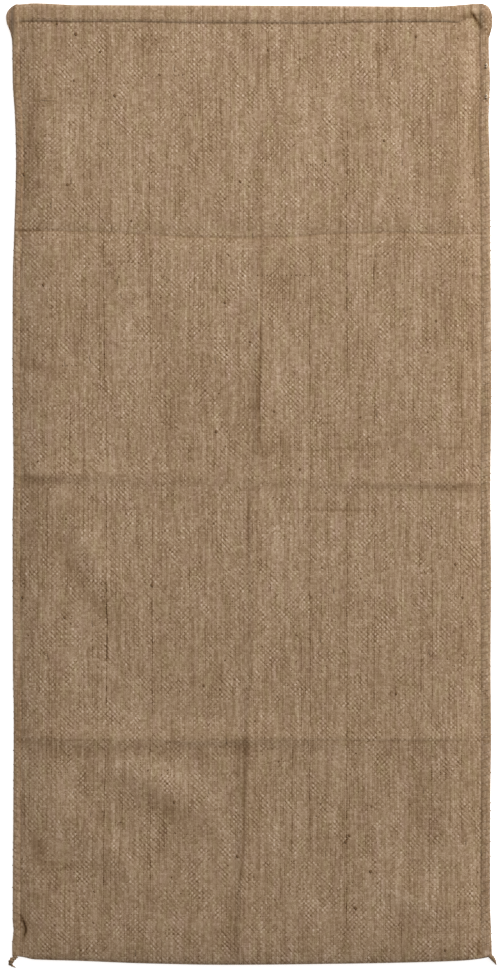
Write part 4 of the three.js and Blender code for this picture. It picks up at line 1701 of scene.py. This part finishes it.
# ---- Sewing ----
@dataclass
class YarnWork:
    """Yarns that follow a path: the sewing of the side seams, its slack loops and its loose ends."""

    shape: SackShape
    shift: Pair
    finishes: Finishes
    sides: int = 8
    thickness: float = 0.55
    ply_flatness: float = 0.72
    # Side seams: seeds, first and last height, points to a stitch and to a turn of the plies, how unevenly the
    # stitches lean and reach.
    seeds: dict[Side, int] = field(default_factory=lambda: {Side.LEFT: 11, Side.RIGHT: 12})
    seam_heights: Pair = (-583.0, 560.0)
    stitch_points: int = 12
    turn_points: int = 5
    lean: float = 1.2
    reach: float = 0.06
    # One stitch: distance in from the edge in parts of the seam's width, and rise from its back to its front.
    stitch: Table = Table(
        "part inset rise", (0, 1.06, 0.5), (0.06, 1.0, 0.9), (0.12, 0.92, 0.95), (0.24, 0.66, 0.97),
        (0.36, 0.38, 0.98), (0.46, 0.14, 1.0), (0.54, 0.0, 0.8), (0.6, -0.03, 0.5), (0.66, 0.02, 0.2),
        (0.76, 0.25, 0.04), (0.9, 0.8, 0.04), (1.0, 1.06, 0.5),
    )
    # Slack loops of the right seam: middles, half width and half height, start and end in degrees, how far
    # they stand up at their ends and more in the middle, and how much thicker the slack yarn has fluffed.
    loops: tuple[Pair, ...] = ((293, 524.5), (293, 486.2))
    loop_size: Pair = (0.8, 2.1)
    loop_arc: Pair = (-150, 165)
    loop_rise: float = 0.7
    loop_stand: float = 0.9
    loop_fluff: float = 1.6
    loop_points: int = 24
    loop_steps: int = 40
    loop_turns: float = 5.0
    # Loose ends: their middle lines on the floor, x and y, with the half thickness there.
    tails: dict[Side, tuple[tuple[float, float, float], ...]] = field(default_factory=lambda: {
        Side.LEFT: (
            (-294, -588.5, 3.1), (-297.5, -591.5, 3.3), (-300.8, -594.8, 3.8), (-301.8, -598.2, 2.9),
            (-299.5, -600.8, 1.6), (-294.8, -603.4, 0.5),
        ),
        Side.RIGHT: (
            (296.5, -587, 3.2), (299.5, -589.8, 3.4), (302.3, -593.4, 2.9), (304.4, -596.8, 1.8),
            (306, -600, 0.5),
        ),
    })
    tail_lift: float = 0.15
    tail_points: int = 40
    tail_steps: int = 60
    tail_turns: float = 3.2

    def lay(
        self, name: str, path: Places, half: Places, steps: int, turns: float, fibre: Fibre = Fibre.SEAM
    ) -> Piece:
        """Lays one yarn along a path.

        Args:
            name: the object's name.
            path: the points of its middle, in millimetres.
            half: its half thickness at them.
            steps: how many sections the yarn has.
            turns: how often its plies turn round each other.
            fibre: its finish.

        Returns:
            The yarn as a plain closed mesh.
        """
        host = host_of(name, path, self.shift, {"half_thickness": half * MM}, line=True)
        tree = GeometryTree("yarn_along_path")
        count = tree.size("Steps", "NodeSocketInt", steps)
        twist = tree.size("Turns", "NodeSocketFloat", turns)
        sides = tree.size("Sides", "NodeSocketInt", self.sides)
        flatness = tree.size("Ply flatness", "NodeSocketFloat", self.ply_flatness)
        curve = tree.get("GeometryNodeMeshToCurve", {0: tree.host})
        curve = tree.get("GeometryNodeResampleCurve", {"Curve": curve, "Count": count})
        along = tree.add("GeometryNodeSplineParameter").outputs["Factor"]
        tilt = tree.product(along, twist, math.tau)
        curve = tree.get("GeometryNodeSetCurveTilt", {"Curve": curve, "Tilt": tilt})
        ring = tree.get("GeometryNodeCurvePrimitiveCircle", {"Resolution": sides, "Radius": 1.0})
        flattened = {0: ring, "Scale": tree.vector(1.0, flatness, 1.0)}
        ring = tree.get("GeometryNodeTransform", flattened)
        scale = tree.value_of("half_thickness")
        tube = {"Curve": curve, "Profile Curve": ring, "Scale": scale, "Fill Caps": True}
        tree.close(tree.get("GeometryNodeCurveToMesh", tube))
        yarn = tree.run(host, name, self.finishes[fibre])
        drop(host)
        return yarn

    def seam_path(self, side: Side) -> Places:
        """The path of the overhead stitches: round and round the seam.

        Args:
            side: the seam.

        Returns:
            The points.
        """
        rng = random.Random(self.seeds[side])
        width = self.shape.seam_widths[side]
        edge = self.shape.left if side is Side.LEFT else self.shape.right
        pitch = self.shape.stitch_pitch
        low, high = self.seam_heights
        rows = []
        for stitch in range(math.ceil(low / pitch), math.floor(high / pitch)):
            lean, reach = rng.uniform(-self.lean, self.lean), rng.uniform(-self.reach, self.reach)
            for step in range(self.stitch_points):
                part = step / self.stitch_points
                swing = math.sin(part * math.pi)
                rows.append((part, (stitch + part) * pitch + lean * swing, reach * swing))
        part, y, reach = np.array(rows).T
        x = edge.read("x", y) - side.value * (self.stitch.read("inset", part) + reach) * width
        under = np.maximum(self.shape.back(x, y, 0.0), self.thickness)
        top = self.shape.front(x, y, np.zeros_like(x))
        return np.stack([x, y, mix(under, top, self.stitch.read("rise", part))], axis=-1)

    def build_seam(self, side: Side) -> Piece:
        """Sews one side seam.

        Args:
            side: the seam.

        Returns:
            The finished object.
        """
        path = self.seam_path(side)
        half = np.full(len(path), self.thickness)
        turns = len(path) / self.turn_points
        yarn = self.lay(f"side_sewing_{side.name.lower()}", path, half, len(path), turns)
        return ride_along(yarn, "seam_yarn")

    def build_tail(self, side: Side) -> Piece:
        """Makes the loose end of a side seam's yarn.

        Args:
            side: the seam.

        Returns:
            The finished object.
        """
        places = self.tails[side]
        table = Table("at x y half", *[(index, *place) for index, place in enumerate(places)])
        at = np.linspace(0, len(places) - 1, self.tail_points)
        half = table.read("half", at)
        path = np.stack([table.read("x", at), table.read("y", at), self.tail_lift + half], axis=-1)
        yarn = self.lay(f"tail_{side.name.lower()}_twisted", path, half, self.tail_steps, self.tail_turns)
        return ride_along(yarn, "seam_yarn", f"seam_tail_{side.name.lower()}")

    def build_loop(self, number: int, x: float, y: float) -> Piece:
        """Makes a slack loop of the right seam's yarn.

        Args:
            number: its number.
            x: its middle across.
            y: its middle along.

        Returns:
            The finished object.
        """
        turn = np.linspace(*np.radians(self.loop_arc), self.loop_points)
        across, along = x + self.loop_size[0] * np.cos(turn), y + self.loop_size[1] * np.sin(turn)
        stand = self.loop_rise + self.loop_stand * np.cos(turn / 2)
        z = self.shape.front(across, along, np.zeros_like(across)) + stand
        path = np.stack([across, along, z], axis=-1)
        half = np.full(len(path), self.loop_fluff * self.thickness)
        yarn = self.lay(f"slack_loop_{number}", path, half, self.loop_steps, self.loop_turns, Fibre.SLACK)
        return ride_along(yarn, "seam_yarn")

    def build(self) -> list[Piece]:
        """Makes all the sewing of the side seams.

        Returns:
            The finished objects.
        """
        pieces = [self.build_seam(side) for side in Side]
        pieces += [self.build_tail(side) for side in Side]
        return pieces + [self.build_loop(number, x, y) for number, (x, y) in enumerate(self.loops, 1)]


# ---- Small things on the cloth ----
@dataclass
class Splinter:
    """A small flat pointed sliver, pointing along y, as the pattern for flecks, slubs and fibres."""

    name: str
    length: float
    width: float
    height: float
    bow: float = 0.0
    sides: int = 6
    rings: int = 3
    bluntness: float = 0.6

    def build(self) -> Piece:
        """Makes the sliver, closed and pointed at both ends.

        Returns:
            A helper object.
        """
        points, faces = [(self.bow, -self.length / 2, 0.0)], []
        for ring in range(self.rings):
            part = (ring + 1) / (self.rings + 1)
            swell = math.sin(math.pi * part) ** self.bluntness
            middle = self.bow * (2 * part - 1) ** 2
            for side in range(self.sides):
                angle = math.tau * side / self.sides
                across = math.cos(angle) * swell * self.width / 2
                up = math.sin(angle) * swell * self.height / 2
                points.append((middle + across, (part - 0.5) * self.length, up))
        points.append((self.bow, self.length / 2, 0.0))
        tip = len(points) - 1
        for side in range(self.sides):
            after = (side + 1) % self.sides
            faces.append((0, 1 + side, 1 + after))
            for ring in range(self.rings - 1):
                low, high = 1 + ring * self.sides, 1 + (ring + 1) * self.sides
                faces.append((low + side, high + side, high + after, low + after))
            low = 1 + (self.rings - 1) * self.sides
            faces.append((tip, low + after, low + side))
        mesh = bpy.data.meshes.new(self.name)
        mesh.from_pydata([tuple(value * MM for value in point) for point in points], [], faces)
        turn_out(mesh)
        return link_object(self.name, mesh)


@dataclass
class Scatter:
    """Many small slivers strewn over the cloth: how many, how they swing from its length, their sizes."""

    name: str
    pattern: Splinter
    fibre: Fibre
    per_square_metre: float
    seed: int
    swing: float
    smallest: float
    largest: float
    sink: float = 0.0

    def build(self, cloth: Piece, finishes: Finishes) -> Piece:
        """Strews the slivers.

        Args:
            cloth: what they lie on.
            finishes: all finishes.

        Returns:
            The finished object.
        """
        pattern = self.pattern.build()
        tree = GeometryTree("strewn_slivers")
        sliver = tree.size("Sliver", "NodeSocketObject", pattern)
        density = tree.size("Per square metre", "NodeSocketFloat", self.per_square_metre)
        seed = tree.size("Seed", "NodeSocketInt", self.seed)
        swing = tree.size("Swing", "NodeSocketFloat", self.swing)
        smallest = tree.size("Smallest", "NodeSocketFloat", self.smallest)
        largest = tree.size("Largest", "NodeSocketFloat", self.largest)
        sink = tree.size("Sink", "NodeSocketFloat", self.sink * MM)
        chosen = tree.math("GREATER_THAN", tree.value_of(OUTSIDE), 0.9)
        where = {"Mesh": tree.host, "Selection": chosen, "Density": density, "Seed": seed}
        strewn = tree.add("GeometryNodeDistributePointsOnFaces", where)
        points, normal = strewn.outputs["Points"], strewn.outputs["Normal"]
        stand = tree.get("FunctionNodeAlignRotationToVector", {"Vector": normal}, axis="Z")
        length = {"Rotation": stand, "Vector": (0.0, 1.0, 0.0)}
        along = tree.get("FunctionNodeAlignRotationToVector", length, axis="Y", pivot_axis="Z")
        turn = tree.random(tree.product(swing, -1.0), swing, tree.math("ADD", seed, 1.0))
        swung = {0: along, 1: tree.turned(turn)}
        rotation = tree.get("FunctionNodeRotateRotation", swung, rotation_space="LOCAL")
        size = tree.random(smallest, largest, tree.math("ADD", seed, 2.0))
        sunk = {0: normal, "Scale": tree.product(sink, -1.0)}
        down = tree.get("ShaderNodeVectorMath", sunk, operation="SCALE")
        points = tree.get("GeometryNodeSetPosition", {"Geometry": points, "Offset": down})
        tree.close_copies(points, sliver, rotation, size)
        piece = tree.run(cloth, self.name, finishes[self.fibre])
        drop(pattern)
        return ride_along(piece, "seam_yarn")


@dataclass
class PlacedSlivers:
    """Slivers at chosen places, with their sizes and turns, and how far they stand up from the cloth."""

    name: str
    pattern: Splinter
    fibre: Fibre
    places: Table
    lift: float = 0.1
    # What the hem adds at parts of its depth from the mouth, away from its edges.
    hem: Table = Table("part adds", (0, 0), (0.04, 2.0), (0.97, 2.0), (1.0, 0))

    def build(self, shape: SackShape, shift: Pair, finishes: Finishes) -> Piece:
        """Puts the slivers on the front.

        Args:
            shape: the sack's shape.
            shift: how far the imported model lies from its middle.
            finishes: all finishes.

        Returns:
            The finished object.
        """
        x, y, size, turn = (self.places.columns[column] for column in ("x", "y", "size", "turn"))
        z = shape.front(x, y, self.hem.read("adds", shape.hem_part(x, y))) + self.lift
        values = {"size": size, "turn": np.radians(turn)}
        host, pattern = host_of(self.name, np.stack([x, y, z], axis=-1), shift, values), self.pattern.build()
        tree = GeometryTree("placed_slivers")
        sliver = tree.size("Sliver", "NodeSocketObject", pattern)
        points = tree.get("GeometryNodeMeshToPoints", {"Mesh": tree.host})
        tree.close_copies(points, sliver, tree.turned(tree.value_of("turn")), tree.value_of("size"))
        piece = tree.run(host, self.name, finishes[self.fibre])
        drop(pattern)
        drop(host)
        return ride_along(piece, "seam_yarn")


@dataclass
class HemStitches:
    """The running stitches along the hem, a little above its edge."""

    start: float = -272.0
    run: float = 520.0
    pitch: float = 7.0
    depth: float = 0.86
    depth_swing: float = 0.02
    place_swing: float = 0.5
    turn_swing: float = 6.0
    sizes: Pair = (0.85, 1.1)
    seed: int = 31

    def places(self, shape: SackShape) -> Table:
        """Sets out the stitches.

        Args:
            shape: the sack's shape.

        Returns:
            Their places, sizes and turns.
        """
        rng = random.Random(self.seed)
        rows = []
        for number in range(int(self.run / self.pitch)):
            x = self.start + number * self.pitch + rng.uniform(-self.place_swing, self.place_swing)
            part = self.depth + rng.uniform(-self.depth_swing, self.depth_swing)
            y = shape.mouth.read("y", x) - part * shape.hem_depth.read("depth", x)
            rows.append((x, y, rng.uniform(*self.sizes), 90 + rng.uniform(-self.turn_swing, self.turn_swing)))
        return Table("x y size turn", *rows)


@dataclass
class WeftHoleShades:
    """Dark slivers as painted shade in the small holes left where a weft yarn has been pulled, two warp yarns
    apart.
    """

    # Where each row starts and ends across, and its height.
    rows: tuple[tuple[float, float, float], ...] = (
        (-236, -218, 149.5), (-97, -84, 512), (-82, -70, 461.5), (7.8, 22, 262), (38, 80, 262),
        (68, 102, 400),
    )
    pitch: float = 5.7
    place_swing: float = 0.4
    turn_swing: float = 20.0
    sizes: Pair = (0.7, 1.1)
    seed: int = 17

    def places(self) -> Table:
        """Sets out the holes.

        Returns:
            Their places, sizes and turns.
        """
        rng = random.Random(self.seed)
        holes = []
        for start, end, y in sorted(self.rows):
            for number in range(1 + int((end - start) / self.pitch)):
                x = start + number * self.pitch + rng.uniform(-self.place_swing, self.place_swing)
                holes.append((x, y, rng.uniform(*self.sizes), rng.uniform(-self.turn_swing, self.turn_swing)))
        return Table("x y size turn", *sorted(holes))


@dataclass
class Trimmings:
    """The hem's stitches, and what lies on the cloth: flecks, shade painted in holes, pulled yarns, slubs,
    stray fibres.
    """

    shape: SackShape
    shift: Pair
    finishes: Finishes
    flecks: Table = Table(
        "x y size turn", (-243, 576, 1, 10), (-219.5, 563, 1.3, 0), (20.5, 543, 1, 20),
        (-284.5, 389, 1.2, 0), (-14.5, 379, 1.1, 30), (-33.5, 228, 1.1, 0), (-2, 179, 1, 60),
        (-44.5, 67, 1.2, 0), (28, 92, 1, 0), (-124.5, -125, 1.3, 20), (-286, -140, 1.1, 0),
        (-233.5, -165, 1.2, 0), (254, -98.5, 1, 0), (263, -140, 1, 0), (-18, -463, 1.1, 0),
        (117, -445, 1.2, 0), (121.5, -437, 1.1, 15), (148, -482, 1.2, 0), (129.5, -528, 1.2, 0),
        (-189, 541, 0.9, 0), (-115, 512, 1, 40), (165, 430, 1, 0), (92, 405, 0.9, 0), (-150, 330, 0.9, 0),
        (-260, 250, 1.1, 0), (-222, 505, 0.9, 0), (-171, 486, 1.2, 20), (-97, -395, 1.1, 0),
        (-60, -250, 1, 0), (180, -260, 1.1, 0), (230, 205, 1, 0), (60, 20, 0.9, 0), (-230, 375, 1, 0),
        (205, 560, 1.1, 0), (241.6, -580.4, 1, 0),
    )
    pulled: Table = Table(
        "x y size turn", (-252, 481, 1, 92), (-246, 484, 0.5, 90), (186, -313, 0.25, 90), (-293, 2, 0.2, 80),
        (122, 399, 0.4, 88), (-150, 120, 0.3, 2), (212, 452, 0.35, 91),
    )
    weft_holes: WeftHoleShades = field(default_factory=WeftHoleShades)
    hem: HemStitches = field(default_factory=HemStitches)
    strewn: tuple[Scatter, ...] = (
        Scatter("bark_flecks", Splinter("fleck", 3.0, 1.8, 0.5), Fibre.BARK, 260, 3, 1.5, 0.5, 1.3),
        Scatter("slubs", Splinter("slub", 9.0, 1.5, 0.9, 0.2), Fibre.SEAM, 90, 5, 0.15, 0.6, 1.4),
        Scatter(
            "stray_fibres", Splinter("fibre", 12.0, 0.12, 0.12, 2.2, 3, 4), Fibre.SEAM, 500, 7, 1.5, 0.5, 1.4,
            -0.3,
        ),
    )

    def placed(self) -> tuple[PlacedSlivers, ...]:
        """What is put at chosen places.

        Returns:
            The slivers, not yet built.
        """
        fleck, hole = Splinter("placed_fleck", 4.4, 3.0, 0.7, 0.2), Splinter("weft_hole", 2.6, 1.7, 0.4)
        pulled, stitch = Splinter("pulled_yarn", 26.0, 0.9, 0.9, 0.3), Splinter("hem_stitch", 4.0, 1.1, 0.9)
        return (
            PlacedSlivers("large_bark_flecks", fleck, Fibre.BARK, self.flecks),
            # Dark slivers that paint the shade in the weft holes.
            PlacedSlivers("weft_holes", hole, Fibre.BARK, self.weft_holes.places()),
            PlacedSlivers("pulled_yarns", pulled, Fibre.PALE, self.pulled),
            PlacedSlivers("hem_sewing", stitch, Fibre.SEAM, self.hem.places(self.shape), -0.15),
        )

    def build(self, cloth: Piece) -> list[Piece]:
        """Makes them all.

        Args:
            cloth: what they lie on.

        Returns:
            The finished objects.
        """
        pieces = [slivers.build(self.shape, self.shift, self.finishes) for slivers in self.placed()]
        return pieces + [scatter.build(cloth, self.finishes) for scatter in self.strewn]


# ---- Studio ----
@dataclass
class Studio:
    """Pale floor, soft light from the upper right and a camera straight above."""

    shift: Pair
    # Camera, in millimetres: middle and height of the view, height of the sack, width of the sensor.
    view_middle: Pair = (-0.94, -0.94)
    view_height: float = 1215.0
    sack_top: float = 4.0
    sensor: float = 36.0
    # In metres: how high the camera hangs, the floor's size and how far it lies below, the key light.
    camera_rise: float = 4.5
    floor_size: float = 9.0
    floor_drop: float = 0.0002
    key_place: tuple[float, float, float] = (2.2, 2.9, 2.9)
    key_size: float = 1.6
    key_power: float = 290.0
    floor_colour: Colour = (0.9, 0.9, 0.9)
    floor_light: Colour = (0.918, 0.918, 0.918)
    floor_grain: float = 3.0
    floor_rough: float = 0.9
    floor_glow: float = 0.7
    white: tuple[float, float, float, float] = (1.0, 1.0, 1.0, 1.0)
    sky_strength: float = 0.36

    def build_floor(self) -> None:
        """Lays the floor."""
        half = self.floor_size / 2
        mesh = bpy.data.meshes.new("floor")
        corners = [(x * half, y * half, -self.floor_drop) for x, y in ((-1, -1), (1, -1), (1, 1), (-1, 1))]
        mesh.from_pydata(corners, [], [(0, 1, 2, 3)])
        floor = link_object("floor", mesh)
        glow = {"Emission Color": self.white, "Emission Strength": self.floor_glow}
        desk = FinishDesk("pale_floor", {"Roughness": self.floor_rough, **glow})
        grain = desk.noise(desk.add("ShaderNodeTexCoord").outputs["Object"], self.floor_grain)
        desk.dress(desk.tint(grain, self.floor_colour, self.floor_light))
        mesh.materials.append(desk.material)

    def build_light(self) -> None:
        """Sets the soft key light and the even sky."""
        data = bpy.data.lights.new("key", "AREA")
        data.size = self.key_size
        data.energy = self.key_power
        key = bpy.data.objects.new("key", data)
        key.location = self.key_place
        key.rotation_euler = (-Vector(self.key_place)).to_track_quat("-Z", "Y").to_euler()
        bpy.context.scene.collection.objects.link(key)
        world = bpy.data.worlds.new("studio")
        world.use_nodes = True
        background = world.node_tree.nodes["Background"]
        background.inputs["Color"].default_value = self.white
        background.inputs["Strength"].default_value = self.sky_strength
        bpy.context.scene.world = world
        bpy.context.scene.view_settings.view_transform = "Standard"

    def build_camera(self) -> None:
        """Sets the camera straight above, framing the sack."""
        data = bpy.data.cameras.new("camera")
        data.sensor_fit = "VERTICAL"
        data.sensor_height = self.sensor
        data.lens = self.sensor * self.camera_rise / (self.view_height * MM)
        camera = bpy.data.objects.new("camera", data)
        x, y = ((place + shift) * MM for place, shift in zip(self.view_middle, self.shift))
        camera.location = (x, y, self.camera_rise + self.sack_top * MM)
        bpy.context.scene.collection.objects.link(camera)
        bpy.context.scene.camera = camera

    def build(self) -> None:
        """Sets up everything round the sack."""
        self.build_camera()
        self.build_light()
        self.build_floor()


def place_shift(shape: SackShape) -> Pair:
    """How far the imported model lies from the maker's middle of the sack.

    Args:
        shape: the sack's shape.

    Returns:
        The shift along x and y, in millimetres.
    """
    low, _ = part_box("sack_cloth")
    return low[0] / MM - shape.left.columns["x"].min(), low[1] / MM - shape.bottom.columns["y"].min()


def main() -> None:
    """Builds the sack and the studio."""
    logging.basicConfig(level=logging.INFO, format="%(name)s: %(message)s")
    shape = SackShape()
    shift = place_shift(shape)
    LOG.info("shift %.2f, %.2f mm", *shift)
    Studio(shift).build()
    finishes = {fibre: fibre.value.material() for fibre in Fibre}
    cloth = Cloth(shape, shift).build(WovenJute().material())
    pieces = YarnWork(shape, shift, finishes).build()
    pieces += Trimmings(shape, shift, finishes).build(cloth)
    for piece in (cloth, *pieces):
        LOG.info("%s: %d faces", piece.name, len(piece.data.polygons))


if __name__ == "__main__":
    main()
